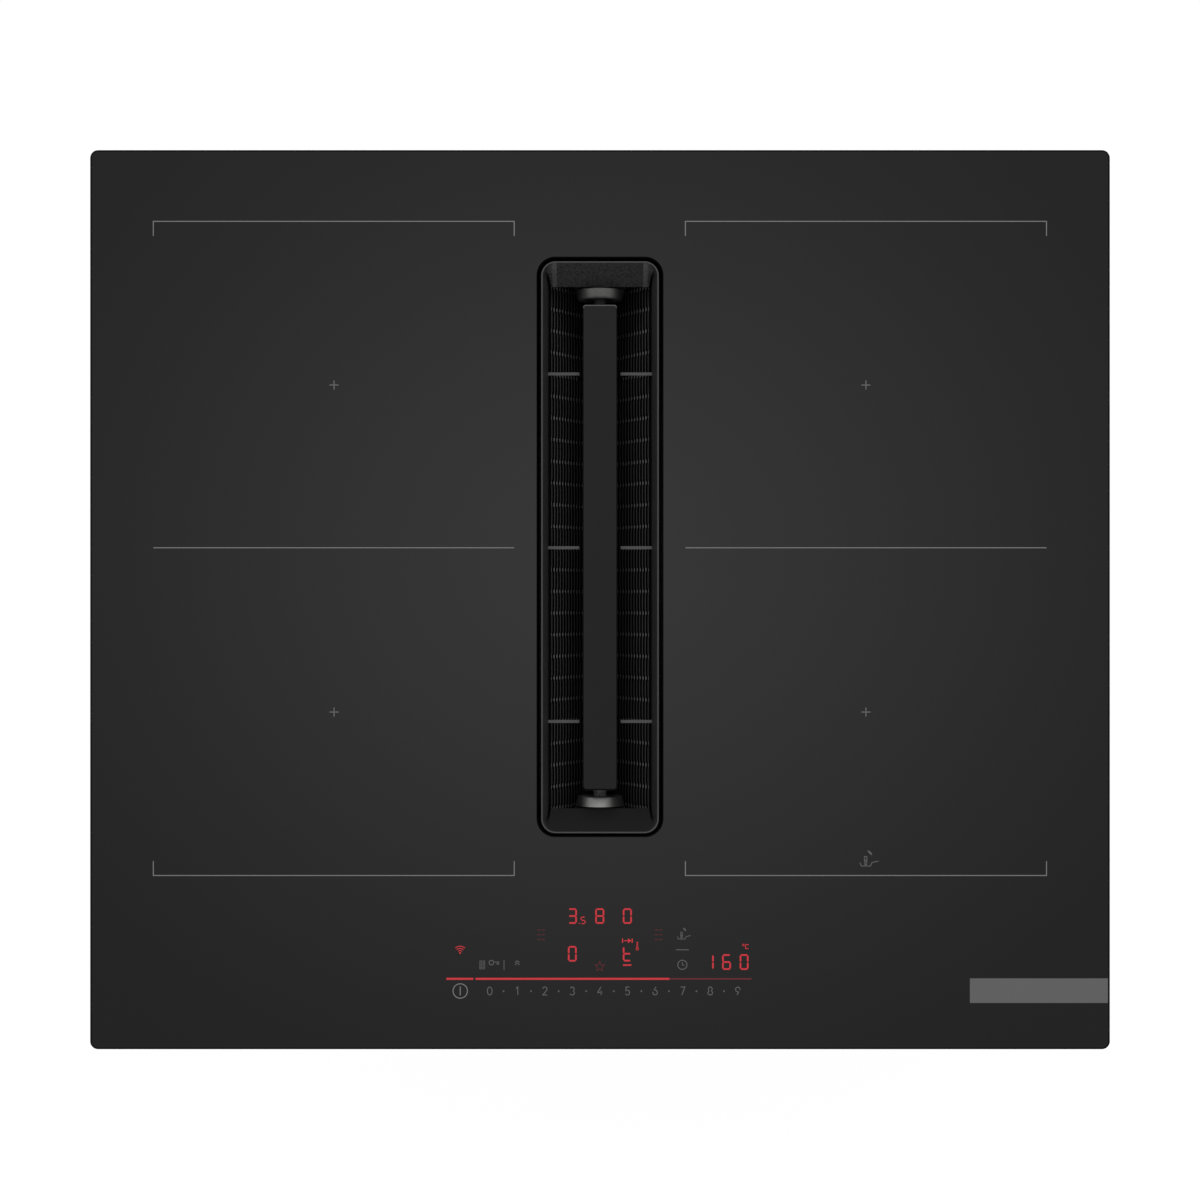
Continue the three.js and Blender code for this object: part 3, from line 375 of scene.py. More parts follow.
def lit(name, colour, strength):
    """Light from under the glass, a little uneven along each stroke."""
    f = Finish(name, Specular_IOR_Level=0.2, Emission_Strength=strength)
    spread = f.noise(1.6, 1.0)
    glow = f.mix(spread, shade(colour, 0.9), shade(colour, 1.08))
    return f.set(Base_Color=(0.02, 0.004, 0.004), Roughness=0.3 + spread * 0.1, Emission_Color=glow)


def foam():
    """Black foam with closed pores."""
    f = Finish("closed_cell_foam", Specular_IOR_Level=0.25)
    pores = f.cells(0.7)
    colours = f.mix(pores, (0.055, 0.055, 0.057), (0.025, 0.025, 0.026))
    return f.set(Base_Color=colours, Roughness=0.82 + pores * 0.12, Normal=f.bump(pores, 0.12))


def litz():
    """Varnished windings: turns side by side, each of twisted strands."""
    f = Finish("litz_copper", Metallic=0.75)
    rings = {"wave_type": "RINGS", "rings_direction": "Z"}
    turns = f.node("TexWave", rings, {"Vector": f.place(), "Scale": 0.07, "Distortion": 0.3})
    strands = f.noise(0.8, 2.0)
    colours = f.mix(turns * 0.7 + strands * 0.3, (0.16, 0.055, 0.02), (0.6, 0.25, 0.1))
    return f.set(Base_Color=colours, Roughness=0.34 + strands * 0.16, Normal=f.bump(turns, 0.3))


def board():
    """Solder mask over a pattern of tracks."""
    f = Finish("circuit_board", Coat_Roughness=0.2)
    bricks = {"Scale": 0.09, "Mortar Size": 0.03, "Brick Width": 0.7, "Row Height": 0.22}
    tracks = f.node("TexBrick", {"offset": 0.37, "squash": 1.6}, {"Vector": f.place(), **bricks}, "Fac")
    haze = f.noise(12.0, 3.0)
    colours = f.mix(tracks * 0.5 + haze * 0.3, (0.012, 0.07, 0.03), (0.05, 0.2, 0.09))
    return f.set(Base_Color=colours, Roughness=0.28 + haze * 0.12, Normal=f.bump(tracks, 0.05))


LOOKS = {
    "black_glass": black_glass(),
    "glass_edge": speckled(
        "ground_glass_edge", (0.003, 0.003, 0.0033), (0.006, 0.006, 0.0063), 0.35, uneven=0.12,
        Specular_IOR_Level=0.02,
    ),
    "filter_metal": cast_coating(),
    "panel_metal": panel_coating(),
    # painted shade: near black, on the faces that lie in shade deep in the unit, in recesses and behind the
    # slats
    "shadow_metal": speckled(
        "shadow_coating", (0.0008, 0.0008, 0.0009), (0.0018, 0.0018, 0.002), Specular_IOR_Level=0.08,
    ),
    # the ribs' copy of the rim's coat is painted lighter, against the shade of the walls over them
    "rim_metal": rim_coating("rim_coating", 0.062),
    "rib_metal": rim_coating("rib_coating", 0.082),
    "corner_metal": corner_coating(),
    "boss_metal": boss_metal(),
    "mesh_metal": louvre_coating(
        "mesh_coating", 158.0, (0.0022, 0.0022, 0.0032), (0.042, 0.0422, 0.0425), 0.45, 0.2,
    ),
    # the bridges' copy is painted lighter: a painted highlight on each bridge
    "bridge_metal": louvre_coating(
        "bridge_coating", 160.0, (0.004, 0.004, 0.0055), (0.16, 0.1605, 0.162), 0.4, 0.4,
    ),
    "bar_black": bar_coating("bar_coating", 0.0065, 0.0105),
    # the bar's edges: a painted highlight along the rear one and painted shade along the others
    "bar_painted_highlight": bar_coating("bar_painted_highlight_edge", 0.062, 0.09),
    "bar_painted_shade": bar_coating("bar_painted_shade_edge", 0.001, 0.002, 0.03),
    "pin_metal": pin_coating(),
    "print_grey": printed("printed_grey", 0.195, 0.245),
    "print_faint": printed("printed_faint", 0.108, 0.138),
    "plate_grey": printed("plate_grey", 0.114, 0.134),
    "display_red": lit("display_red", (0.55, 0.031, 0.044), 1.0),
    "display_dim": lit("display_dim", (0.158, 0.022, 0.032), 0.7),
    "foam_seal": foam(),
    "black_rubber": moulded("silicone_seal", (0.012, 0.012, 0.0125), 0.6, 1.2, 0.01),
    "steel_sheet": galvanised(),
    "black_plastic": moulded("black_moulding", (0.017, 0.0175, 0.0185), 0.48, 0.6, 0.03),
    "grey_plastic": moulded("grey_moulding", (0.26, 0.27, 0.28), 0.45, 0.6, 0.015),
    "motor_steel": plated("motor_can", (0.4, 0.4, 0.41), 0.34, (1.0, 1.0, 0.1)),
    "clamp_zinc": plated("bright_zinc", (0.56, 0.56, 0.55), 0.3, (1.0, 0.2, 1.0)),
    "aluminium_sheet": plated("mill_aluminium", (0.58, 0.59, 0.6), 0.36, (0.1, 1.0, 1.0)),
    "copper_wire": litz(),
    "ceramic_white": speckled(
        "unglazed_ceramic", (0.55, 0.53, 0.48), (0.74, 0.72, 0.67), 0.7, 3.0, 0.62, 0.2, 0.04,
    ),
    "circuit_board": board(),
    "cable_grey": moulded("cable_jacket", (0.24, 0.24, 0.25), 0.42, 1.0, 0.01),
}


# ---------------------------------------------------------------- shapes

SHARP_EDGE = math.radians(35.0)  # sharper edges than this show as edges
FLAT_WEIGHT = 80  # how far large faces bend the shading of the small ones beside them


def heading(angle):
    """The way in plan at an angle in radians from +X."""
    return Vector((math.cos(angle), math.sin(angle)))


def rounded_points(half_x, half_y, radius, x=0.0, y=0.0, z=0.0, steps=12):
    """Corners of a rounded rectangle, from the middle of its right side round to the left."""
    points = []
    for sx, sy, turn in ((1, 1, 0), (-1, 1, 1), (-1, -1, 2), (1, -1, 3)):
        for i in range(steps + 1):
            angle = math.pi / 2 * (turn + i / steps)
            px = x + sx * (half_x - radius) + radius * math.cos(angle)
            points.append((px, y + sy * (half_y - radius) + radius * math.sin(angle), z))
    return points


def circle(x, y, z, radius, sides=72):
    turns = (2 * math.pi * i / sides for i in range(sides))
    return [(x + radius * math.cos(a), y + radius * math.sin(a), z) for a in turns]


def middle_and_halves(box):
    """The middle of a box in plan, and half its width and depth."""
    x0, x1, y0, y1 = (box[side] for side in ("left", "right", "front", "back"))
    return (x0 + x1) / 2, (y0 + y1) / 2, (x1 - x0) / 2, (y1 - y0) / 2


class Shape:
    """Points and faces of one piece, in millimetres, each face with the name of its finish."""

    def __init__(self, *finishes):
        self.finishes = finishes
        self.points = []
        self.faces = []
        self.looks = []

    def add(self, points):
        start = len(self.points)
        self.points += [tuple(p) for p in points]
        return list(range(start, len(self.points)))

    def face(self, corners, finish=None):
        """A face in one of the shape's finishes: the first one, unless another is named."""
        self.faces.append(tuple(corners))
        self.looks.append(finish or self.finishes[0])

    def band(self, low, high, finish=None):
        """Four-sided faces between two closed loops of equal length."""
        count = len(low)
        for i in range(count):
            j = (i + 1) % count
            self.face((low[i], low[j], high[j], high[i]), finish)

    def skin(self, rings, finish=None, capped=True):
        """A skin over closed rings, in one finish or in a list with one for each band."""
        loops = [self.add(ring) for ring in rings]
        each = finish if isinstance(finish, (list, tuple)) else [finish] * (len(loops) - 1)
        for low, high, look in zip(loops, loops[1:], each):
            self.band(low, high, look)
        if capped:
            self.face(reversed(loops[0]), each[0])
            self.face(loops[-1], each[-1])
        return loops

    def hoop(self, rings, finish=None):
        """A skin that comes back to its first ring."""
        loops = self.skin(rings, finish, capped=False)
        self.band(loops[-1], loops[0], finish)

    def holed_face(self, outer, inner, up=True):
        """A flat face between two rounded rectangles, each a loop of four equal corners."""
        a, b = len(outer) // 4, len(inner) // 4
        pieces = [
            outer[: 2 * a] + inner[: 2 * b][::-1],
            [outer[2 * a - 1], outer[2 * a], inner[2 * b], inner[2 * b - 1]],
            outer[2 * a :] + inner[2 * b :][::-1],
            [outer[-1], outer[0], inner[0], inner[-1]],
        ]
        for piece in pieces:
            self.face(piece if up else piece[::-1])

    def box(self, x0, x1, y0, y1, z0, z1, finish=None):
        low = [(x0, y0, z0), (x1, y0, z0), (x1, y1, z0), (x0, y1, z0)]
        high = [(x, y, z1) for x, y, _ in low]
        self.skin([low, high], finish)

    def turned(self, profile, origin, along="Z", sides=64, finish=None):
        """A profile of radius and distance, turned about an axis through origin."""
        ox, oy, oz = origin
        rings = []
        for radius, distance in profile:
            ring = []
            for i in range(sides):
                angle = 2 * math.pi * i / sides
                c, s = radius * math.cos(angle), radius * math.sin(angle)
                if along == "Z":
                    ring.append((ox + c, oy + s, oz + distance))
                elif along == "Y":
                    ring.append((ox + s, oy + distance, oz + c))
                else:
                    ring.append((ox + distance, oy + c, oz + s))
            rings.append(ring)
        self.skin(rings, finish)

    def stud(self, profile, origin, along, sign, sides=24, finish=None):
        """A turned part that points along an axis, or against it."""
        ordered = [(radius, sign * reach) for radius, reach in profile]
        self.turned(ordered if sign > 0 else ordered[::-1], origin, along, sides, finish)

    def piece(self, name, body, replaces=()):
        """Makes the object, in metres, hangs it on its body's empty and hides the solids that it replaces.
        """
        mesh = bpy.data.meshes.new(name)
        mesh.from_pydata([tuple(c * MM for c in p) for p in self.points], [], self.faces)
        for finish in self.finishes:
            mesh.materials.append(LOOKS[finish].material)
        mesh.polygons.foreach_set("material_index", [self.finishes.index(look) for look in self.looks])
        mesh.validate()
        mesh.update()
        mesh.shade_smooth()
        mesh.set_sharp_from_angle(angle=SHARP_EDGE)
        made = bpy.data.objects.new(name, mesh)
        bpy.context.scene.collection.objects.link(made)
        flat = made.modifiers.new("flat_faces", "WEIGHTED_NORMAL")
        flat.keep_sharp = True
        flat.weight = FLAT_WEIGHT
        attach(made, body)
        if replaces:
            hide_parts(*replaces)


# ---------------------------------------------------------------- glass


def glass_plate():
    """The plate: ground outer edge, rounded corners, and the opening with its own small bevel."""
    shape = Shape("black_glass", "glass_edge")
    bevel, small = GLASS["bevel"], 0.5
    rounding = [(0.0, 1.0), (0.16, 0.55), (0.5, 0.16), (1.0, 0.0)]  # shares of a bevel, inward and down

    def outline(box, inward, z):
        half_x, half_y, radius = (box[size] - inward for size in ("half_x", "half_y", "radius"))
        return rounded_points(half_x, half_y, radius, 0.0, box["y"], z)

    rings = [outline(GLASS, small, GLASS_LOW), outline(GLASS, 0.0, GLASS_LOW + small)]
    rings += [outline(GLASS, inward * bevel, TOP_Z - down * bevel) for inward, down in rounding]
    outer = shape.skin(rings, "glass_edge", capped=False)
    rings = [outline(VENT, -outward * small, TOP_Z - down * small) for outward, down in rounding[::-1]]
    rings.append(outline(VENT, 0.0, GLASS_LOW))
    inner = shape.skin(rings, "glass_edge", capped=False)
    shape.holed_face(outer[-1], inner[0])
    shape.holed_face(outer[0], inner[-1], up=False)
    shape.piece("glass_plate", "casing", ["glass_top"])


SHARPEST_MITRE = 0.4  # where strokes meet more sharply than this, the mitre grows no further


class Marks(Shape):
    """Flat marks on the glass, given in pixels of the photograph."""

    def patch(self, points):
        """A filled patch, which faces up whichever way its corners run."""
        corners = self.add([((x - MIDDLE[0]) * PIXEL, (MIDDLE[1] - y) * PIXEL, PRINT_Z) for x, y in points])
        area = sum(
            self.points[a][0] * self.points[b][1] - self.points[b][0] * self.points[a][1]
            for a, b in zip(corners, corners[1:] + corners[:1])
        )
        self.face(corners if area > 0 else corners[::-1])

    def line(self, points, width, closed=False):
        """A stroke of that width in pixels, mitred at its corners."""
        count = len(points)
        sides = []
        for i, (x, y) in enumerate(points):
            before = points[i - 1] if i or closed else None
            after = points[(i + 1) % count] if i < count - 1 or closed else None
            runs = []
            for start, end in ((before, (x, y)), ((x, y), after)):
                if start and end:
                    dx, dy = end[0] - start[0], end[1] - start[1]
                    size = math.hypot(dx, dy)
                    runs.append((dx / size, dy / size))
            tx, ty = sum(r[0] for r in runs), sum(r[1] for r in runs)
            size = math.hypot(tx, ty) or 1.0
            nx, ny = -ty / size, tx / size
            reach = width / 2 / max(SHARPEST_MITRE, abs(nx * -runs[0][1] + ny * runs[0][0]))
            sides.append(((x + nx * reach, y + ny * reach), (x - nx * reach, y - ny * reach)))
        for i in range(count if closed else count - 1):
            (a, b), (c, d) = sides[i], sides[(i + 1) % count]
            self.patch([a, c, d, b])

    def arc(self, x, y, rx, ry, start, end, width, steps):
        """Part of an ellipse, in degrees clockwise from the right."""
        full = abs(end - start) >= 360
        points = []
        for i in range(steps if full else steps + 1):
            angle = math.radians(start + (end - start) * i / steps)
            points.append((x + rx * math.cos(angle), y + ry * math.sin(angle)))
        self.line(points, width, full)

    def disc(self, x, y, radius):
        self.patch([(px, py) for px, py, _ in circle(x, y, 0.0, radius, 14)])

    def segments(self, x, y, wide, high, lit_ones, thick=1.65):
        """A seven-segment figure with its top left corner at x, y. lit_ones names its segments, a to g."""
        t, half, gap = thick / 2, high / 2, 0.45

        def bar(cx, cy, length, flat):
            tip, run = length / 2 - gap, length / 2 - gap - t * 0.8
            plan = [(-tip, 0), (-run, -t), (run, -t), (tip, 0), (run, t), (-run, t)]
            self.patch([(cx + (u if flat else v), cy + (v if flat else u)) for u, v in plan])

        left, right = x + t, x + wide - t
        rows = {"a": y + t, "g": y + half, "d": y + high - t}
        for name, row in rows.items():
            if name in lit_ones:
                bar((left + right) / 2, row, right - left + t * 0.8, True)
        tall = half - t
        for name, cx, cy in (
            ("f", left, y + t + tall / 2),
            ("b", right, y + t + tall / 2),
            ("e", left, y + half + tall / 2),
            ("c", right, y + half + tall / 2),
        ):
            if name in lit_ones:
                bar(cx, cy, tall + t * 0.4, False)


DIGIT_PITCH = 27.57  # from digit to digit under the slider, in pixels

# strokes of the digits 0 to 9 in shares of half a digit's width and height: a list is a line,
# and a tuple is an arc with its middle, its radii, its start and end in degrees, and its steps
DIGITS = (
    [(0, 0, 1, 1, 0, 360, 26)],
    [[(-0.55, -0.62), (0.2, -1), (0.2, 1)]],
    [(0, -0.45, 0.9, 0.55, 190, 390, 12), [(0.78, -0.17), (-0.85, 1), (1, 1)]],
    [(-0.1, -0.48, 0.85, 0.5, 200, 450, 14), (-0.1, 0.48, 0.95, 0.52, 270, 520, 14)],
    [[(1, 0.38), (-1, 0.38), (0.35, -1)], [(0.45, -0.1), (0.45, 1)]],
    [[(0.8, -1), (-0.6, -1), (-0.7, -0.1)], (-0.05, 0.4, 0.95, 0.6, 215, 510, 16)],
    [(0, 0.38, 0.95, 0.6, 0, 360, 20), [(-0.9, 0.2), (0.35, -1)]],
    [[(-0.9, -1), (0.95, -1), (-0.35, 1)]],
    [(0, -0.5, 0.82, 0.5, 0, 360, 20), (0, 0.48, 0.98, 0.52, 0, 360, 20)],
    [(0, -0.38, 0.95, 0.6, 0, 360, 20), [(0.9, -0.2), (-0.35, 1)]],
)


def zone_marks():
    """Cooking zones: bracket lines, a middle line and a cross over each coil."""
    marks = Marks("print_grey")
    line, thin, arm = 0.85, 0.68, 4.5
    for left, right in ((153.2, 514.2), (685.4, 1046.6)):
        marks.line([(left, 235.8), (left, 221.2), (right, 221.2), (right, 235.8)], line)
        marks.line([(left, 547.7), (right, 547.7)], line)
        marks.line([(left, 861.1), (left, 875.5), (right, 875.5), (right, 861.1)], line)
    for x in (334.0, 866.0):
        for y in (384.9, 712.0):
            marks.line([(x - arm, y), (x + arm, y)], thin)
            marks.line([(x, y - arm), (x, y + arm)], thin)
    marks.piece("zone_marks", "casing")


def pan_icon(marks, x, y, size, width):
    """A pan with a thermometer in it and a wedge of rising heat."""

    def at(dx, dy):
        return (x + dx * size, y + dy * size)

    marks.line([at(-6.2, -2.6), at(-4.6, 0.9), at(4.6, 0.9), at(6.0, -2.6), at(12.4, -4.0)], width)
    marks.line([at(-1.5, -1.6), at(-1.5, -8.6), at(0.9, -8.6), at(0.9, -1.6)], width)
    marks.disc(*at(-0.3, -1.5), 1.5 * size)
    marks.line([at(-0.3, -1.5), at(-0.3, -5.4)], width)
    marks.patch([at(1.2, -14.6), at(3.4, -14.2), at(5.4, -12.6), at(6.2, -9.6), at(3.6, -11.4)])


def control_marks():
    """The grey print around the touch controls, fainter on the signs beside the figures."""
    marks = Marks("print_grey")
    marks.arc(460.2, 991.0, 7.2, 7.2, 0, 360, 0.85, 40)
    marks.line([(460.2, 986.6), (460.2, 995.4)], 0.9)
    marks.piece("control_marks", "casing")

    marks = Marks("print_faint")
    for n in range(9):
        marks.disc(503.5 + DIGIT_PITCH * n, 991.2, 0.85)
    for x in (480.6, 483.8):
        marks.line([(x - 0.9, 960.9), (x + 0.9, 960.9), (x + 0.9, 969.0), (x - 0.9, 969.0)], 0.5, True)
        for row in range(4):
            marks.line([(x - 0.9, 963.4 + 1.6 * row), (x + 0.9, 962.4 + 1.6 * row)], 0.45)
    marks.arc(491.4, 962.6, 2.3, 2.3, 0, 360, 0.8, 18)
    marks.line([(493.7, 962.0), (498.6, 962.0), (498.6, 964.2), (496.9, 964.2), (496.9, 962.9)], 0.7)
    marks.line([(504.0, 960.0), (504.0, 970.0)], 0.7)
    for drop in (0.0, 2.3):
        marks.line([(514.9, 962.6 + drop), (517.2, 960.8 + drop), (519.5, 962.6 + drop)], 0.7)
    marks.line([(675.8, 949.8), (688.8, 949.8)], 0.8)
    marks.arc(682.4, 964.8, 4.6, 4.6, 0, 360, 0.8, 28)
    marks.line([(682.4, 961.9), (682.4, 965.1), (684.4, 965.1)], 0.7)
    pan_icon(marks, 681.8, 938.4, 0.72, 0.6)
    pan_icon(marks, 866.0, 865.1, 1.0, 0.8)
    marks.piece("sign_marks", "casing")


def slider_digits():
    """The plain digits under the slider."""
    marks = Marks("print_faint")
    y, half_wide, half_high, width = 991.0, 2.35, 4.0, 0.85
    for n, strokes in enumerate(DIGITS):
        x = 489.7 + DIGIT_PITCH * n
        for stroke in strokes:
            if isinstance(stroke, list):
                marks.line([(x + u * half_wide, y + v * half_high) for u, v in stroke], width)
            else:
                u, v, rx, ry, start, end, steps = stroke
                middle = (x + u * half_wide, y + v * half_high)
                marks.arc(*middle, rx * half_wide, ry * half_high, start, end, width, steps)
    marks.piece("slider_digits", "casing")


def plain_plate():
    """A bare grey plate on the glass at the lower right."""
    marks = Marks("plate_grey")
    left, right, top, low = 970.0, 1108.0, 978.4, 1003.0
    marks.patch([(left, top), (right, top), (right, low), (left, low)])
    marks.piece("plain_plate", "casing")


def display():
    """What is lit under the glass: the figures, the slider and its small signs."""
    lit_marks = Marks("display_red")
    for figure in (
        (568.0, 908.3, 8.9, 15.5, "abgcd"),
        (580.6, 916.6, 5.0, 7.5, "afgcd", 1.0),
        (595.2, 908.3, 9.1, 15.5, "abcdefg"),
        (622.8, 908.3, 9.1, 15.5, "abcdef"),
        (567.9, 946.0, 8.8, 15.6, "abcdef"),
        (622.8, 946.0, 8.6, 15.5, "fegd"),
        (704.9, 954.2, 8.9, 15.7, "bc"),
        (722.1, 954.2, 8.9, 15.7, "afgcde"),
        (739.7, 954.2, 8.9, 15.7, "abcdef"),
    ):
        lit_marks.segments(*figure)
    lit_marks.disc(579.3, 923.4, 0.6)
    lit_marks.line([(623.0, 965.1), (631.4, 965.1)], 1.5)
    lit_marks.line([(622.6, 938.6), (622.6, 942.8)], 1.1)
    lit_marks.line([(632.2, 938.6), (632.2, 942.8)], 1.1)
    lit_marks.line([(624.2, 940.7), (629.0, 940.7)], 0.9)
    lit_marks.patch([(628.0, 938.3), (631.4, 940.7), (628.0, 943.1)])
    lit_marks.line([(636.8, 947.6), (636.9, 942.0), (637.7, 942.0), (637.8, 947.6)], 0.55)
    lit_marks.arc(637.3, 948.9, 1.2, 1.2, 0, 360, 0.65, 14)
    lit_marks.arc(743.4, 944.9, 0.85, 0.85, 0, 360, 0.6, 12)
    lit_marks.line([(748.8, 944.6), (746.0, 944.6), (745.5, 945.3)], 0.8)
    lit_marks.line([(745.5, 945.3), (745.5, 947.9), (746.0, 948.6), (748.6, 948.6)], 0.8)
    lit_marks.disc(460.1, 953.0, 0.95)
    for radius in (2.6, 4.8, 7.0):
        lit_marks.arc(460.1, 953.2, radius, radius, 227, 313, 0.8, 12)
    slider, reached = 978.85, 669.4
    lit_marks.line([(446.3, slider), (473.3, slider)], 2.0)
    lit_marks.line([(475.5, slider), (reached, slider)], 2.0)
    lit_marks.piece("lit_figures", "casing")

    dim_marks = Marks("display_dim")
    dim_marks.line([(reached, slider), (751.5, slider)], 1.4)
    points = []
    for i in range(10):
        radius = 5.2 if i % 2 == 0 else 2.3
        angle = math.radians(36 * i - 90)
        points.append((599.7 + radius * math.cos(angle), 966.6 + radius * math.sin(angle)))
    dim_marks.line(points, 0.55, True)
    for x in (541.0, 658.5):
        for row in range(3):
            y = 930.0 + 4.8 * row
            dim_marks.line([(x - 3.8, y), (x - 0.4, y)], 0.65)
            dim_marks.line([(x + 0.6, y), (x + 3.8, y)], 0.65)
    dim_marks.piece("dim_figures", "casing")


# ---------------------------------------------------------------- lift-out filter unit


def mesh_x(z):
    """Where the filter sheet's inner face is at a height."""
    return MESH["top_x"] - (MESH["top_z"] - z) / MESH["slope"]


def unit_ring(half_x, half_y, radius, z):
    """A rounded rectangle about the middle of the lift-out unit."""
    return rounded_points(half_x, half_y, radius, 0, UNIT_Y, z)


def filter_rim(shape):
    """Rim, and the side walls that slope from it down to the sheets."""
    hx, hy, r, w, top = (RIM[size] for size in ("half_x", "half_y", "radius", "width", "top"))
    foot_x, foot_z, soft = FOOT["x"], FOOT["z"], 0.2
    wall = (
        (foot_x + 0.5, foot_z + 2.0), (foot_x, foot_z), (foot_x, foot_z - 0.6), (foot_x + 0.5, foot_z - 1.0),
        (hx - 1.2, foot_z - 1.0),
    )
    shape.skin(
        [
            unit_ring(hx - 1.6, hy - 1.6, r - 1.6, 200.0),
            unit_ring(hx, hy, r, 203.0),
            unit_ring(hx, hy, r, top - soft),
            unit_ring(hx - soft, hy - soft, r - soft, top),
            unit_ring(hx - w + soft, hy - w + soft, r - w + soft, top),
            unit_ring(hx - w, hy - w, r - w, top - soft),
            *(unit_ring(x, x + hy - hx, x + r - hx, z) for x, z in wall),
        ],
        ["filter_metal"] * 2 + ["rim_metal"] * 3 + ["filter_metal"] * 3 + ["shadow_metal"] * 2,
        capped=False,
    )


def end_wall(shape, side):
    """One end of the opening: a plate that slopes from the rim to the lip, with a strip down each side."""
    inner = RIM["half_x"] - RIM["width"]
    radius = RIM["radius"] - RIM["width"]
    top_y = RIM["half_y"] - RIM["width"] - 0.05
    top_z = RIM["top"] - 0.25
    fall = (top_z - LIP["z"]) / (top_y - LIP["y"])
    plate = 2.2
    panel = 25.2

    def points(outline, drop=0.0):
        return shape.add([(x, UNIT_Y + side * y, top_z - (top_y - y) * fall - drop) for x, y in outline])

    def facing(corners, finish=None):
        shape.face(corners if side > 0 else corners[::-1], finish)

    half = [(panel, top_y)]
    corner_steps = 8
    for i in range(corner_steps + 1):
        angle = math.radians(90 - 57 * i / corner_steps)
        half.append((inner - radius + radius * math.cos(angle), top_y - radius + radius * math.sin(angle)))
    half += [(31.3, 160.7), (30.6, 159.6), (30.0, 158.4), (29.55, 157.0), (29.2, 155.4), (29.0, 153.9)]
    for i in range(1, 6):
        angle = math.radians(90 * i / 5)
        half.append((27.5 + 1.5 * math.cos(angle), LIP["y"] + 1.5 - 1.5 * math.sin(angle)))
    half.append((panel, LIP["y"]))
    bevel = [(x - 0.12 if 27.2 < x < 32 and y < 161 else x, max(y, LIP["y"])) for x, y in half]
    for turn in (1, -1):
        upper = points([(turn * x, y) for x, y in bevel])
        lower = points([(turn * x, y) for x, y in half], plate)
        facing(upper[::-1] if turn > 0 else upper, "corner_metal")
        facing(lower if turn > 0 else lower[::-1], "shadow_metal")
        for i in range(corner_steps + 1, len(half) - 1):
            quad = [upper[i], upper[i + 1], lower[i + 1], lower[i]]
            facing(quad if turn > 0 else quad[::-1])
    middle = [(panel, top_y), (-panel, top_y), (-panel, LIP["y"]), (panel, LIP["y"])]
    upper, lower = points(middle), points(middle, plate)
    facing(upper, "panel_metal")
    facing(lower[::-1], "shadow_metal")
    facing([upper[3], upper[2], lower[2], lower[3]], "shadow_metal")
    near, far = (UNIT_Y + side * END_PLATE[edge] for edge in ("near", "far"))
    shape.box(-FOOT["x"], FOOT["x"], *sorted((near, far)), END_PLATE["low"], LIP["z"], "shadow_metal")

    mid_z, half_z = 171.0, 30.0

    def cover(grow, out):
        """A level of the pressed cover on the outer side of the plate."""
        plan = rounded_points(FOOT["x"] + grow, half_z + grow, 4.0 + max(grow, -3.5), steps=6)
        return [(side * -x, far + side * out, mid_z + z) for x, z, _ in plan]

    frame_levels = ((0.0, -0.2), (0.0, 0.5), (-0.3, 0.8), (-3.0, 0.8))
    field_levels = ((-3.8, 0.2), (-6.5, 0.2), (-7.5, 1.1), (-9.0, 1.3))
    shape.skin([cover(grow, out) for grow, out in frame_levels + field_levels], "bar_black")


def pin_boss(shape, side):
    """The round boss that takes a pin, and its pillar with a fillet into the end plate."""
    profile = [(4.3, 149.0), (4.3, 146.0), (4.9, 145.95), (12.7, 145.95), (13.2, 146.45), (13.5, 147.5)]
    profile += [(14.4, 151.3), (14.5, 151.7), (14.2, 152.0), (6.0, 152.0)]
    shape.stud(profile, (0, UNIT_Y, PIN["z"]), "Y", side, 128, "boss_metal")
    pillar, fillet, back, steps = 14.2, 3.2, 154.2, 8
    plan = [(-13.2, 147.0)]
    for turn in (-1, 1):
        for i in range(steps + 1):
            angle = math.pi / 2 * ((i if turn < 0 else steps - i) / steps)
            x = pillar + fillet * (1 - math.cos(angle))
            plan.append((turn * x, back - fillet * (1 - math.sin(angle))))
    plan.append((13.2, 147.0))
    if side > 0:
        plan = plan[::-1]
    low, high = 172.0, 198.4
    rings = [[(x, UNIT_Y + side * y, z) for x, y in plan] for z in (low, high, high + 0.6)]
    shape.skin(rings, ("shadow_metal", "bar_black"))
    reach = sorted((UNIT_Y + side * (back - 0.5), UNIT_Y + side * END_PLATE["near"]))
    shape.box(-15.0, 15.0, *reach, low, high - 0.4, "shadow_metal")


def cross_rib(shape, y):
    """A strap: level from the side wall, then bent down beside the bar and along the sheet."""
    half, thick = 0.85, 1.3
    path = [(FOOT["x"] + 1.3, 210.2), (12.75, 210.2), (12.05, 209.9), (11.65, 209.0), (11.45, 206.0)]
    path += [(11.3, 173.0), (2.4, 149.0)]
    across = [(0.0, -1.0), (0.0, -1.0), (0.6, -0.8), (0.95, -0.3), (1.0, 0.0), (0.97, 0.15), (0.9, 0.4)]
    inner = [(x + dx * thick, z + dz * thick) for (x, z), (dx, dz) in zip(path, across)]
    for side in (1, -1):
        rings = []
        for a, b in zip(path, inner):
            corners = ((a, y - half), (b, y - half), (b, y + half), (a, y + half))
            ring = [(side * x, along, z) for (x, z), along in corners]
            rings.append(ring[::-1] if side > 0 else ring)
        shape.skin(rings, "rib_metal")


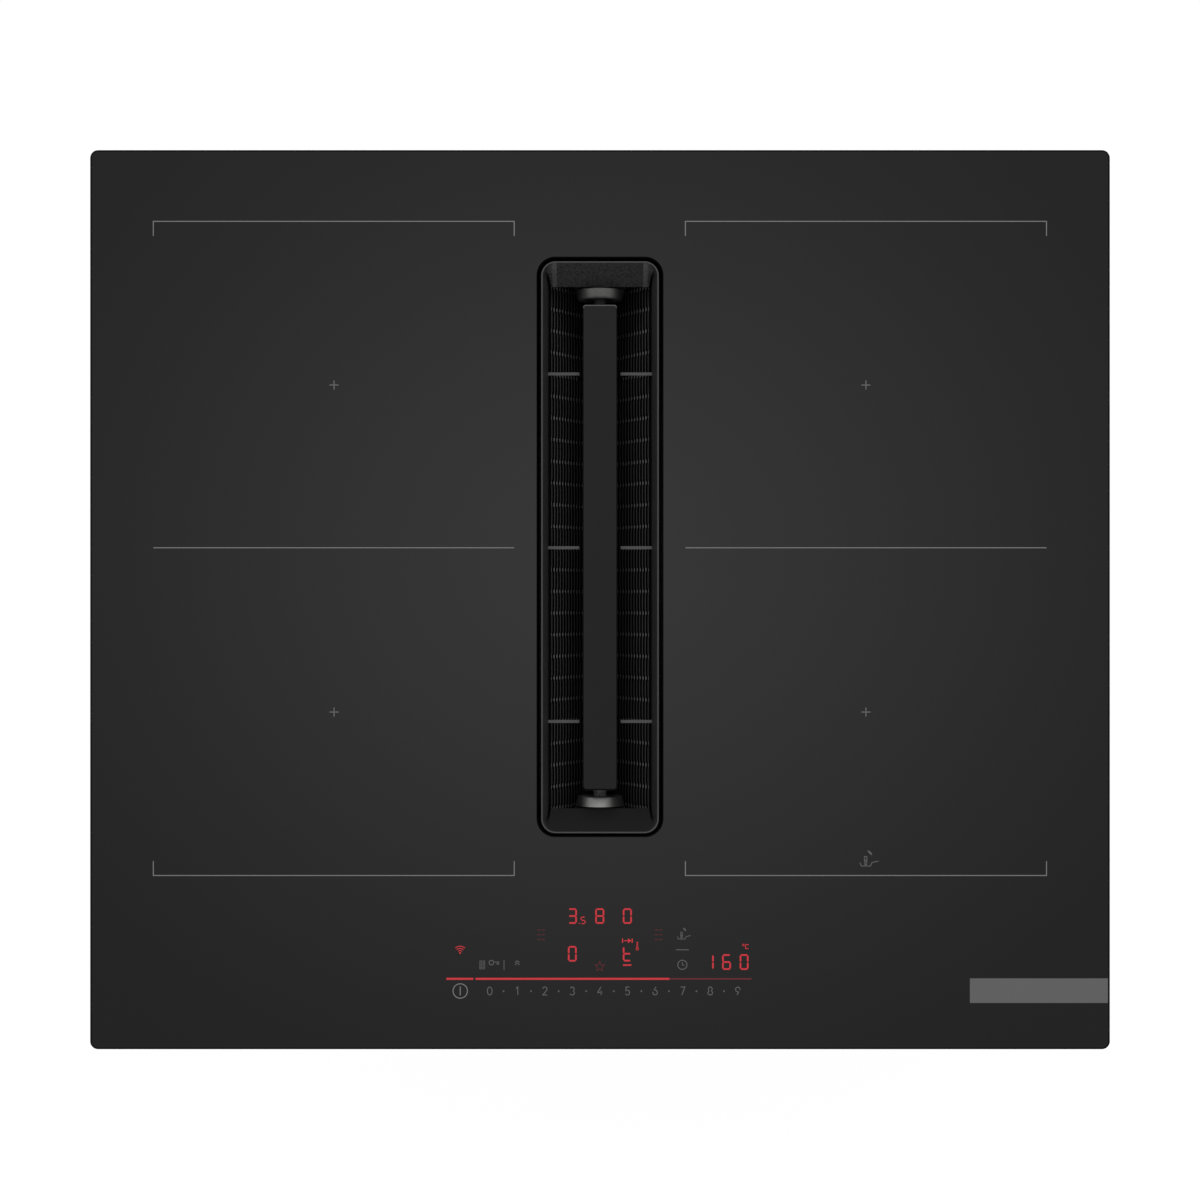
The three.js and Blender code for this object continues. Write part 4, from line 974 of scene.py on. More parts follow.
def filter_casting():
    """The unit's casting: rim, walls, end plates, bosses, ribs and the grid of its keel."""
    shape = Shape(
        "filter_metal", "rim_metal", "corner_metal", "shadow_metal",
        "panel_metal", "boss_metal", "rib_metal", "bar_black",
    )
    filter_rim(shape)
    for side in (1, -1):
        end_wall(shape, side)
        pin_boss(shape, side)
    for k in (-1, 0, 1):
        cross_rib(shape, UNIT_Y + k * RIB_PITCH)
    reach, low, high = END_PLATE["near"], 143.0, 147.4
    for side in (1, -1):
        across = sorted((side * 2.5, side * 9.0))
        shape.box(*across, UNIT_Y - reach, UNIT_Y + reach, low, high, "shadow_metal")
    for k in range(-6, 7):
        y = UNIT_Y + k * CELL * 2
        shape.box(-2.6, 2.6, y - 2.0, y + 2.0, low, high, "shadow_metal")
    shape.piece("filter_casting", "filter_unit", ["filter_frame"])


def louvre_sheet(side, name, node):
    """Stamped slats, each with a level edge, a blade behind it and a bridge at every cell."""
    shape = Shape("mesh_metal", "bridge_metal", "shadow_metal")
    rows, pitch, wide = 15, 3.84, 0.62
    first = MESH["top_z"] - 2.8
    bend = ((-2.6, 0.0), (-1.1, 0.2), (1.1, 0.2), (2.6, 0.0))
    tread = [(0.2, -0.9), (0.45, -1.3), (0.8, -0.9), (0.95, 0.0), (0.8, 0.9), (0.45, 1.3), (0.2, 0.9)]
    strut = [(1.0, -0.7), (1.35, -0.7), (2.05, 3.0), (1.75, 3.0)]
    cells = range(-12, 13)
    ends = (-MESH["half_y"], MESH["half_y"])
    bends = [(k * CELL + along, out) for k in cells for along, out in bend]
    stops = [(ends[0], 0.0), *bends, (ends[1], 0.0)]

    def mirrored(rings):
        return [[(side * x, y, z) for x, y, z in (ring if side > 0 else ring[::-1])] for ring in rings]

    for row in range(rows):
        z = first - pitch * row
        x = mesh_x(z)
        back = x + wide
        slat = [(x, z - 0.12), (x + 0.14, z), (back, z), (back + 1.5, z - 2.3), (back + 1.3, z - 2.5)]
        slat += [(back - 0.15, z - 1.3), (x + 0.1, z - 1.3)]
        rings = [[(px + out, UNIT_Y + y, pz) for px, pz in slat] for y, out in stops]
        loops = [shape.add(ring) for ring in mirrored(rings)]
        for a, b in zip(loops, loops[1:]):
            for i in range(len(a)):
                j = (i + 1) % len(a)
                seen = i in (0, 1) if side > 0 else i in (4, 5)
                shape.face((a[i], a[j], b[j], b[i]), "mesh_metal" if seen else "shadow_metal")
        shape.face(loops[0][::-1], "shadow_metal")
        shape.face(loops[-1], "shadow_metal")
        for k in cells:
            y = UNIT_Y + k * CELL
            rings = []
            for grow, lift in ((0.82, -0.8), (1.0, 0.02), (0.85, 0.22)):
                rings.append([(x + 0.65 + (px - 0.5) * grow, y + py * grow, z + lift) for px, py in tread])
            shape.skin(mirrored(rings), "bridge_metal")
            if row:
                rings = [[(x + px, y + py, z + pz) for px, pz in strut] for py in (-0.45, 0.45)]
                shape.skin(mirrored(rings), "shadow_metal")
    hem = [(28.6, 205.8), (30.6, 209.0), (31.6, 209.0), (31.6, 208.3), (30.9, 208.3), (29.0, 205.2)]
    shape.skin(mirrored([[(x, UNIT_Y + y, z) for x, z in hem] for y in ends]), "shadow_metal")
    shape.piece(name, "filter_unit", [node])


def grip_bar():
    """The bar: hollow below, with a painted highlight along its rear top edge and painted shade along the
    others.
    """
    shape = Shape("bar_black", "bar_painted_highlight", "bar_painted_shade")
    hx, hy, low, top = BAR["half_x"], BAR["half_y"], BAR["low"], BAR["top"]

    def ring(inset, z, radius=1.5, along=None):
        return rounded_points(hx - inset, hy - (inset if along is None else along), radius, 0, UNIT_Y, z, 5)

    shape.skin(
        [
            ring(3.6, top - 3.6, 0.8),
            ring(3.6, low + 0.4, 0.8),
            ring(3.2, low),
            ring(0.4, low),
            ring(0.0, low + 0.4),
            ring(0.0, top - 1.0),
            ring(0.12, top - 0.35, along=0.35),
            ring(0.4, top, along=0.95),
        ]
    )
    # the top edge at the rear gets the painted highlight, the others the painted shade
    close, rear = 0.02, UNIT_Y + hy - 2.6
    for i, corners in enumerate(shape.faces):
        heights = [shape.points[c][2] for c in corners]
        if max(heights) > top - close and min(heights) < top - close:
            middle = sum(shape.points[c][1] for c in corners) / len(corners)
            shape.looks[i] = "bar_painted_highlight" if middle > rear else "bar_painted_shade"
    shape.piece("grip_bar_shell", "filter_unit", ["grip_bar"])


def bar_pins():
    """The pins between the bar and the bosses, each with a groove around it."""
    r = PIN["radius"]
    near, far = BAR["half_y"] - 1.0, 153.5
    profile = [(r, near), (r, 144.0), (r - 0.25, 144.3), (r - 0.25, 144.9), (r, 145.2), (r, far)]
    for side, node in ((1, "bar_pin_rear"), (-1, "bar_pin_front")):
        shape = Shape("pin_metal")
        shape.stud(profile, (0, UNIT_Y, PIN["z"]), "Y", side, 48)
        shape.piece(node + "_turned", "filter_unit", [node])


# ---------------------------------------------------------------- fan housing and ducts

FAN_AXIS = Vector((FAN["x"], FAN["y"]))
RIB_SPACING = 15.5  # from rib to rib on the upright walls of the ducts


def tongue():
    """Where the housing's spiral starts, the way from there to the mouth, and the way into the duct."""
    tip = FAN_AXIS + heading(math.radians(SCROLL["start"])) * SCROLL["from"]
    run = (Vector((MOUTH["left"], MOUTH["y"])) - tip).normalized()
    return tip, run, Vector((run.y, -run.x))


def scroll_plan(inset, end=MOUTH["y"]):
    """Plan of the fan housing as an open line: the mouth's left side, the spiral, the mouth's right side."""
    tip, run, inward = tongue()

    def spiral(degrees):
        grown = (degrees - SCROLL["start"]) / (360 - SCROLL["start"])
        radius = SCROLL["from"] + (SCROLL["to"] - SCROLL["from"]) * grown - inset
        return FAN_AXIS + heading(math.radians(degrees)) * radius

    if inset > 0:
        start = SCROLL["start"]
        first = math.atan2(inward.y, inward.x)
        sweep = math.radians(start - 180) - first
        corner = [tip + heading(first + sweep * k / 6) * inset for k in range(7)]
    else:
        # halving finds where the spiral comes out from behind the slanted wall
        low, high = SCROLL["start"], 110.0
        for _ in range(40):
            start = (low + high) / 2
            if (spiral(start) - tip).dot(inward) > inset:
                low = start
            else:
                high = start
        notch = spiral(start)
        corner = [notch + run * (0.8 * k) for k in (3, 2, 1, 0)]
        corner += [spiral(start + 0.5 * k) for k in (1, 2, 3)]
        start += 1.5
    points = [corner[0] + run * ((end - corner[0].y) / run.y), *corner]
    steps = 56
    points += [spiral(start + (360 - start) * i / steps) for i in range(1, steps + 1)]
    points.append(Vector((MOUTH["right"] - inset, end)))
    return [tuple(p) for p in points]


def stations(line, pitch, margin, closed=False):
    """Even places along a line, each with the way out to its right."""
    corners = [Vector(p) for p in line] + ([Vector(line[0])] if closed else [])
    lengths = [(b - a).length for a, b in zip(corners, corners[1:])]
    room = sum(lengths) - 2 * margin
    count = round(room / pitch)
    places = []
    for k in range(count + (0 if closed else 1)):
        left = margin + room * k / count
        for a, b, length in zip(corners, corners[1:], lengths):
            if left <= length:
                along = (b - a) / length
                places.append((a + along * left, Vector((along.y, -along.x))))
                break
            left -= length
    return places


def housing_stations(pitch, margin, clear):
    """Places around the fan housing, but for the narrow notch beside its tongue."""
    tip = tongue()[0]
    return [(p, way) for p, way in stations(scroll_plan(0.0), pitch, margin) if (p - tip).length > clear]


def upright_bar(shape, middle, way, proud, z0, z1):
    """A moulded rib on an upright wall, tapered at its ends."""
    side, half = Vector((-way.y, way.x)), 0.8
    rings = []
    for z, out in ((z0, 0.1), (z0 + proud, proud), (z1 - proud, proud), (z1, 0.1)):
        corners = [middle - side * half - way, middle - side * half + way * out]
        corners += [middle + side * half + way * out, middle + side * half - way]
        rings.append([(p.x, p.y, z) for p in corners])
    shape.skin(rings)


def housing_skin(shape, profile):
    """Wall of the fan housing, open at the mouth. The profile is pairs of inset and height."""
    loops = [shape.add([(x, y, z) for x, y in scroll_plan(inset)]) for inset, z in profile]
    for a, b in zip(loops, loops[1:]):
        for i in range(len(a) - 1):
            shape.face((a[i], a[i + 1], b[i + 1], b[i]))
    shape.face([loop[0] for loop in loops])
    shape.face([loop[-1] for loop in loops][::-1])
    high, low = (loops[-1], loops[0]) if profile[-1][1] > profile[0][1] else (loops[0], loops[-1])
    shape.face((high[0], high[-1], low[-1], low[0]))
    return loops


def screw_towers(shape, z0, z1, headed):
    """Towers along the flange of the fan housing. The headed ones show a screw from below."""
    head = [(1.0, -1.0), (1.2, -2.4), (2.6, -2.3), (3.1, -1.6), (3.2, -0.1), (2.4, 0.1)]
    for middle, way in housing_stations(62.0, 24.0, 70.0):
        x, y = middle + way * 3.4
        shape.turned([(3.5, z0), (4.3, z0 + 0.8), (4.6, z1 - 0.5), (4.2, z1)], (x, y, 0.0), sides=20)
        if headed:
            shape.turned(head, (x, y, z0), sides=20, finish="clamp_zinc")


def fan_housing_lower():
    """Lower half of the fan housing: rounded foot, flange, ribs and a ribbed bottom."""
    shape = Shape("black_plastic", "clamp_zinc")
    top, rib = FAN["split"], 1.8
    foot = ((4.2, 0.0), (2.2, 0.35), (0.8, 1.3), (0.2, 2.8), (0.0, 4.6), (0.0, top - 4.4), (-0.6, top - 3.4))
    flange = ((-3.0, top - 3.2), (-3.4, top - 2.8), (-3.4, top - 0.4), (-3.0, top), (2.5, top))
    loops = housing_skin(shape, foot + flange + ((2.5, 3.2), (3.2, 2.5)))
    shape.face(loops[-1])
    rim = shape.add([(x, y, 0.0) for x, y in scroll_plan(7.0, MOUTH["y"] - 3.0)])
    raised = shape.add([(x, y, 1.4) for x, y in scroll_plan(7.6, MOUTH["y"] - 3.6)])
    shape.band(rim, loops[0])
    shape.band(raised, rim)
    shape.face(raised[::-1])
    inner, middle, outer = 26.0, 47.0, 68.0
    for radius in (inner, middle, outer):
        profile = ((radius - 0.3, rib), (radius, 0.0), (radius + 1.6, 0.0), (radius + 1.9, rib))
        shape.hoop([circle(*FAN_AXIS, z, r) for r, z in profile])
    shape.turned([(9.0, 0.0), (10.0, rib)], (*FAN_AXIS, 0.0))
    for k in range(24):
        way = heading(math.radians(15 * k))
        side = Vector((-way.y, way.x)) * 0.8
        near, far = FAN_AXIS + way * (inner + 1.2), FAN_AXIS + way * ((middle if k % 2 else outer) + 0.6)
        ends = [(p.x, p.y, 0.0) for p in (near - side, far - side, far + side, near + side)]
        shape.skin([ends, [(x, y, rib) for x, y, _ in ends]])
    tip, run, _ = tongue()
    for k in range(5):
        x = MOUTH["left"] + 88.0 + 28.0 * k
        beside_wall = tip.y + (x - tip.x) * run.y / run.x + 12.0
        shape.box(x, x + 1.6, max(108.0 + 2.0 * k, beside_wall), MOUTH["y"] - 8.0, 0.0, rib)
    for place, way in housing_stations(RIB_SPACING, 8.0, 20.0):
        upright_bar(shape, place, way, 1.5, 7.0, top - 4.0)
    screw_towers(shape, top - 15.0, top, True)
    shape.piece("fan_scroll_lower", "casing", ["fan_housing_lower"])


def holed_plate(shape, outline, ring, up):
    """A flat face with a round hole, as two faces that meet in two cuts."""

    def nearest(corner):
        place = shape.points[corner][:2]
        return min(range(len(ring)), key=lambda i: math.dist(place, shape.points[ring[i]][:2]))

    def walk(start, end):
        return [ring[(start + i) % len(ring)] for i in range((end - start) % len(ring) + 1)]

    first, second = len(outline) // 8, len(outline) * 5 // 8
    a, b = nearest(outline[first]), nearest(outline[second])
    for part, hole in (
        (outline[first : second + 1], walk(a, b)),
        (outline[second:] + outline[: first + 1], walk(b, a)),
    ):
        corners = part + hole[::-1]
        shape.face(corners if up else corners[::-1])


def fan_housing_upper():
    """Upper half of the fan housing, with the hole for the inlet ring."""
    shape = Shape("black_plastic")
    low, top, wall = FAN["split"] + 0.3, FAN["top"], 2.5
    flange = ((wall, top - wall), (wall, low), (-3.0, low), (-3.4, low + 0.4), (-3.4, low + 2.4))
    side = ((-3.0, low + 2.8), (-0.6, low + 3.0), (0.0, low + 4.0))
    shoulder = ((0.0, top - 4.6), (0.2, top - 2.8), (0.8, top - 1.3), (2.2, top - 0.35), (4.2, top))
    loops = housing_skin(shape, flange + side + shoulder)
    above, below = (shape.add(circle(*FAN_AXIS, z, FAN["inlet"])) for z in (top, top - wall))
    holed_plate(shape, loops[-1], above, True)
    holed_plate(shape, loops[0], below, False)
    shape.band(above, below)
    for middle, way in housing_stations(RIB_SPACING, 8.0, 20.0):
        upright_bar(shape, middle, way, 1.5, low + 3.5, top - 5.0)
    screw_towers(shape, low, low + 13.0, False)
    shape.piece("fan_scroll_upper", "casing", ["fan_housing_upper"])


def plenum_trim():
    """Joined flanges, ribs and screws around the duct from the well to the fan."""
    shape = Shape("black_plastic", "clamp_zinc")
    x, y, half_x, half_y = middle_and_halves(PLENUM)

    def ring(grow, z):
        return rounded_points(half_x + grow, half_y + grow, PLENUM["radius"] + grow, x, y, z)

    for low, high in ((95.0, 97.2), (97.5, 99.9)):
        edges = ((-0.4, low), (2.8, low), (3.2, low + 0.4), (3.2, high - 0.4), (2.8, high), (-0.4, high))
        shape.hoop([ring(grow, z) for grow, z in edges])
    tower = [(3.4, 93.6), (3.9, 94.2), (3.9, 103.0), (3.4, 103.6)]
    head = [(1.4, 103.5), (2.9, 103.6), (2.7, 104.9), (1.2, 105.3)]
    plan = [(px, py) for px, py, _ in ring(0.0, 0.0)]
    for k, (place, way) in enumerate(stations(plan, RIB_SPACING, 0.0, True)):
        beside_well = way.x < -0.5 and abs(place.y - UNIT_Y) < 100
        if beside_well:
            continue
        if k % 5:
            upright_bar(shape, place, way, 1.5, 99.5, 153.0)
        else:
            foot = (*(place + way * 1.4), 0.0)
            shape.turned(tower, foot, sides=20)
            shape.turned(head, foot, sides=20, finish="clamp_zinc")
    shape.piece("plenum_flange", "casing")


def outlet_trim():
    """Two sealing beads around the flat duct, and webs behind its flange."""
    shape = Shape("black_plastic")
    x, z = (MOUTH["left"] + MOUTH["right"]) / 2, OUTLET["z"]
    half_x, half_z = OUTLET["half_x"], OUTLET["half_z"]
    for y in (224.0, 232.0):
        rings = []
        for grow, along in ((-0.4, -1.4), (0.8, -0.8), (1.1, 0.0), (0.8, 0.8), (-0.4, 1.4)):
            corners = rounded_points(half_x + grow, half_z + grow, 1.0 + max(0.0, grow), steps=3)
            rings.append([(x + px, y + along, z - pz) for px, pz, _ in corners])
        shape.hoop(rings)
    near, far = 208.5, 218.0
    for k in range(-4, 5):
        for turn in (1, -1):
            base, tip = z + turn * (half_z - 0.3), z + turn * (half_z + 1.9)
            sides = (x + 24.0 * k - 0.8, x + 24.0 * k + 0.8)
            rings = [[(px, near, base), (px, far, base), (px, near, tip)] for px in sides]
            shape.skin(rings if turn > 0 else [ring[::-1] for ring in rings])
    shape.piece("duct_beads", "casing")


# ---------------------------------------------------------------- tray, clamps, container and terminal


def socket_screw(shape, place, along, sign, size):
    """A pan head on a washer, with a socket in it."""
    bore = size * 0.5
    washer = [(bore, -0.3), (size * 1.5, -0.3), (size * 1.5, 0.4), (size * 1.42, 0.6), (bore, 0.6)]
    head = [(size * 0.6, 0.4), (size, 0.5), (size, 1.5), (size * 0.82, 2.1), (size * 0.56, 2.25)]
    head += [(bore, 2.1), (size * 0.48, 1.3)]
    shape.stud(washer, place, along, sign, finish="clamp_zinc")
    shape.stud(head, place, along, sign, finish="clamp_zinc")
    shape.stud([(bore, 1.0), (bore, 1.5)], place, along, sign, 6, "shadow_metal")


def pressed_pad(shape, middle, u, v, half_u, half_v, height):
    """A long stiffening bead, pressed out of the sheet along the normal of u and v."""
    middle, u, v = Vector(middle), Vector(u), Vector(v)
    normal = u.cross(v)
    rings = []
    for inset, lift in ((0.0, -0.3), (0.5, 0.15), (1.4, 0.8), (2.2, 1.0)):
        plan = rounded_points(half_u - inset, half_v - inset, half_v - inset - 0.05, steps=8)
        rings.append([middle + u * px + v * py + normal * (lift * height) for px, py, _ in plan])
    shape.skin(rings)


def tray_details():
    """Stiffening beads, riveted corner laps, and the screws that hold the tray to the frame above it."""
    shape = Shape("steel_sheet", "clamp_zinc", "shadow_metal")
    hx, hy, up = TRAY["half_x"], TRAY["half_y"], (0, 0, 1)
    screw_z, size = 203.0, 2.6
    for side in (1, -1):
        for y in (-66.0, 0.0, 66.0):
            pressed_pad(shape, (side * hx, y, 186.0), (0, side, 0), up, 28.0, 7.0, 1.1)
        for along in (-215.0, -110.0, 0.0, 110.0, 215.0):
            socket_screw(shape, (side * hx, along, screw_z), "X", side, size)
            socket_screw(shape, (along, side * hy, screw_z), "Y", side, size)
    for x in (-170.0, -85.0, 0.0, 85.0, 170.0):
        pressed_pad(shape, (x, -hy, 183.0), (1, 0, 0), up, 34.0, 7.0, 1.1)
    for x in (-211.0, -45.0, 45.0, 211.0):
        pressed_pad(shape, (x, hy, 183.0), (-1, 0, 0), up, 28.0, 7.0, 1.1)
    for k in range(7):
        pressed_pad(shape, (-157.0, 40.0 * k - 125.0, TRAY["low"]), (-1, 0, 0), (0, 1, 0), 84.0, 6.0, 2.2)
    rivet = [(2.6, -0.2), (2.6, 0.3), (2.1, 0.9), (1.0, 1.3)]
    for sx in (1, -1):
        for sy in (1, -1):
            across = sorted((sx * (hx - 20.0), sx * (hx - 7.0)))
            shape.box(*across, *sorted((sy * (hy - 0.3), sy * (hy + 0.9))), 163.0, 197.5)
            for z in (170.0, 190.0):
                shape.stud(rivet, (sx * (hx - 13.5), sy * (hy + 0.8), z), "Y", sy, finish="clamp_zinc")
    shape.piece("tray_details", "casing")


def clamp_screws():
    """The screws that turn the clamps: a round head with a socket, and a rolled thread."""
    head_low, head_top, end = 173.9, 177.7, 218.1
    root, crest, pitch, turns = 1.75, 2.1, 0.8, 50
    profile = [(2.2, head_low + 1.4), (2.3, head_low), (3.9, head_low), (4.5, head_low + 0.7)]
    profile += [(4.5, head_top - 0.4), (4.2, head_top), (1.7, head_top)]
    for k in range(turns):
        z = head_top + 0.3 + pitch * k
        profile += [(root, z), (crest, z + 0.34)]
    profile.append((root, end))
    socket = [(2.25, head_low + 1.1), (2.25, head_low + 1.6)]
    for sy, row in ((-1, "front"), (1, "rear")):
        for sx, column in ((1, "right"), (-1, "left")):
            shape = Shape("clamp_zinc", "shadow_metal")
            place = (sx * CLAMP["x"], sy * CLAMP["y"], 0.0)
            shape.turned(profile, place, sides=20)
            shape.turned(socket, place, sides=6, finish="shadow_metal")
            name = f"{row}_{column}"
            shape.piece("threaded_screw_" + name, "casing", ["clamp_screw_" + name])


def container_trim():
    """Frame, level window and finger ridges on the liquid container."""
    shape = Shape("grey_plastic", "bar_black")
    x, y, z = (TANK["left"] + TANK["right"]) / 2, TANK["front"], 32.0
    half_x, half_z = (TANK["right"] - TANK["left"]) / 2 - 5.0, 24.0

    def ring(px, half_px, half_pz, radius, out):
        plan = rounded_points(half_px, half_pz, radius, steps=8)
        return [(px + dx, y - out, z + dz) for dx, dz, _ in plan]

    frame_steps = ((0.0, -0.1), (0.4, 1.2), (2.6, 1.2), (3.2, -0.1))
    shape.hoop([ring(x, half_x - inset, half_z - inset, 4.0 - inset, out) for inset, out in frame_steps])
    window = x - half_x + 14.0
    shape.skin([ring(window, 3.0, 17.0, 2.9, out) for out in (-0.1, 0.5)], "bar_black")
    for k in range(5):
        level = z - 14.0 + 7.0 * k
        reach = 8.0 if k in (0, 4) else 5.0
        shape.box(window + 5.0, window + 5.0 + reach, y - 0.6, y + 0.2, level - 0.4, level + 0.4)
    for k in range(6):
        px = x - 20.0 + 8.0 * k
        shape.box(px - 0.8, px + 0.8, y - 6.4, y - 1.0, 73.8, 74.5)
    shape.piece("container_front", "container")


def terminal_trim():
    """Screws, raised panel and ribs on the terminal box, and its gland with a ribbed dome nut."""
    shape = Shape("black_plastic", "clamp_zinc", "shadow_metal")
    t = TERMINAL
    x, y, half_x, half_y = middle_and_halves(t)
    for sx in (1, -1):
        for sy in (1, -1):
            place = (x + sx * (half_x - 7.0), y + sy * (half_y - 7.0), t["low"])
            socket_screw(shape, place, "Z", -1, 2.2)
    pressed_pad(shape, (x, y, t["low"]), (-1, 0, 0), (0, 1, 0), 34.0, 18.0, 1.2)
    for k in range(8):
        rib_x = t["left"] + 12.0 + 11.0 * k
        if abs(rib_x - GLAND["x"]) > 16:
            place = Vector((rib_x, t["back"]))
            upright_bar(shape, place, Vector((0, 1)), 1.2, t["low"] + 6.0, t["top"] - 4.0)
    shape.piece("terminal_trim", "casing")

    shape = Shape("black_plastic", "shadow_metal")
    gland = gx, back, gz = GLAND["x"], t["back"], GLAND["z"]
    nut = [(9.6, 0.3), (11.9, 0.3), (12.5, 1.0), (12.5, 6.4), (11.7, 7.2), (9.6, 7.2)]
    lock_nut = [(9.6, -7.0), (12.5, -7.0), (12.5, -2.8), (9.6, -2.8)]
    dome = [(9.4, 7.2), (10.6, 7.6), (10.6, 12.0), (9.8, 14.5), (7.9, 16.4), (6.2, 17.0), (5.6, 16.6)]
    dome.append((5.2, 13.5))
    for profile, sides in ((nut, 6), (lock_nut, 6), ([(9.0, -8.5), (9.0, 8.0)], 32), (dome, 40)):
        shape.turned(profile, gland, "Y", sides)
    shape.turned([(5.1, 13.3), (5.1, 13.8)], gland, "Y", 32, "shadow_metal")
    for k in range(12):
        angle = math.radians(30 * k)
        c, s = math.cos(angle), math.sin(angle)
        rings = []
        for reach, out in ((7.8, 0.9), (12.2, 0.9), (14.2, 0.1)):
            corners = ((9.4, -0.7), (10.5 + out, -0.7), (10.5 + out, 0.7), (9.4, 0.7))
            rings.append([(gx + r * s + w * c, back + reach, gz + r * c - w * s) for r, w in corners])
        shape.skin(rings)
    shape.piece("gland_dome", "casing", ["cable_gland"])


# ---------------------------------------------------------------- nodes that keep their solids

WELD = 0.00002  # points nearer than this, in metres, are one
CREASE = math.radians(32.0)  # sharper edges than this keep their facets apart
PLAIN_ROUNDING = 0.35  # width of the rounding, in millimetres, but for the nodes that ROUNDINGS names
ROUNDINGS = (
    ("coil", 0.0),
    ("power", 0.0),
    ("display", 0.0),
    ("heatsink", 0.0),
    ("impeller", 0.2),
    ("cooling_fan", 0.2),
    ("clamp_screw", 0.2),
    ("base_tray", 0.6),
    ("fan_housing", 0.9),
    ("plenum", 1.0),
    ("outlet", 0.6),
    ("overflow", 0.9),
    ("terminal_box", 0.8),
    ("terminal_cover", 0.8),
    ("air_well", 0.5),
)
SLOTTED = ("base_tray", "plenum_cover", "terminal_b")


def crisp_edges():
    """A modifier's group that welds a node's facets and shades the flatter edges smooth."""
    group = bpy.data.node_groups.new("crisp_edges", "GeometryNodeTree")
    group.interface.new_socket("Geometry", in_out="INPUT", socket_type="NodeSocketGeometry")
    group.interface.new_socket("Geometry", in_out="OUTPUT", socket_type="NodeSocketGeometry")
    nodes = Nodes(group, "")
    solid = nodes.node("NodeGroupInput")
    welded = nodes.node("GeometryNodeMergeByDistance", inputs={"Geometry": solid, "Distance": WELD})
    smooth = nodes.node("GeometryNodeSetShadeSmooth", inputs={"Geometry": welded})
    angle = nodes.node("GeometryNodeInputMeshEdgeAngle", output="Unsigned Angle")
    flat = nodes.node("FunctionNodeCompare", {"operation": "LESS_THAN"}, {"A": angle, "B": CREASE})
    inputs = {"Geometry": smooth, "Shade Smooth": flat}
    edged = nodes.node("GeometryNodeSetShadeSmooth", {"domain": "EDGE"}, inputs)
    nodes.feed(group.nodes.new("NodeGroupOutput").inputs[0], edged)
    return group


def dress_nodes():
    """Gives each node its finish and welded facets, and slightly rounded edges but for those that ROUNDINGS
    gives no width.

    The flat sides of the slotted ones are first made whole, so that the rounding doesn't run
    into the cuts between their facets.
    """
    crisp = crisp_edges()
    slots = {part["node"]: part["material_slot"] for part in frame["record"]["subparts"]}
    for name, node in frame["nodes"].items():
        material = LOOKS[slots[name]].material
        if not node.material_slots:
            node.data.materials.append(material)
        for slot in node.material_slots:
            slot.material = material
        node.modifiers.new("crisp", "NODES").node_group = crisp
        if name.startswith(SLOTTED):
            whole = node.modifiers.new("whole_faces", "DECIMATE")
            whole.decimate_type = "DISSOLVE"
            whole.angle_limit = math.radians(0.5)
        width = next((w for start, w in ROUNDINGS if name.startswith(start)), PLAIN_ROUNDING)
        if width:
            rounding = node.modifiers.new("rounding", "BEVEL")
            rounding.width = width * MM
            rounding.segments = 2
            rounding.limit_method = "ANGLE"
            rounding.angle_limit = math.radians(40)
            rounding.harden_normals = True


# ---------------------------------------------------------------- studio

WHITE = (1.0, 1.0, 1.0)
FLOOR = {"half": 6.0, "z": -0.0004, "glow": 1.075, "share": 0.86}  # the glow's share where it is seen
SKY = {"front": 0.36, "back": 0.92}  # strength of the world's light
LAMPS = (("back_lamp", (0.0, 3.0, 3.0), 40.0), ("front_lamp", (0.0, -3.0, 2.0), 14.0))
LAMP_SIZE = 1.6
LAMP_AIM = Vector((0.0, 0.0, 0.2))
EYE = (0.0, -0.0002, 1.7701)  # 1.547 above the glass


def pale_floor():
    """A floor that the camera and gloss see as white, and that is clear from below."""
    f = Finish("studio_floor")
    pale = f.mix(f.noise(30.0, 2.0), (0.93, 0.93, 0.93), (0.96, 0.96, 0.96))
    f.set(Base_Color=pale, Roughness=0.9)
    rays = [f.node("LightPath", output=ray) for ray in ("Is Camera Ray", "Is Glossy Ray")]
    seen = f.node("Math", {"operation": "MAXIMUM"}, rays)
    glow = f.node("Emission", inputs={"Color": WHITE, "Strength": FLOOR["glow"]})
    above = f.node("MixShader", inputs=(seen * FLOOR["share"], Value(f, f.shader.outputs[0]), glow))
    below = f.node("NewGeometry", output="Backfacing")
    whole = f.node("MixShader", inputs=(below, above, f.node("BsdfTransparent")))
    f.feed(f.tree.nodes["Material Output"].inputs["Surface"], whole)
    half, z = FLOOR["half"], FLOOR["z"]
    mesh = bpy.data.meshes.new("studio_floor")
    corners = [(-half, -half, z), (half, -half, z), (half, half, z), (-half, half, z)]
    mesh.from_pydata(corners, [], [(0, 1, 2, 3)])
    mesh.materials.append(f.material)
    floor = bpy.data.objects.new("studio_floor", mesh)
    bpy.context.scene.collection.objects.link(floor)


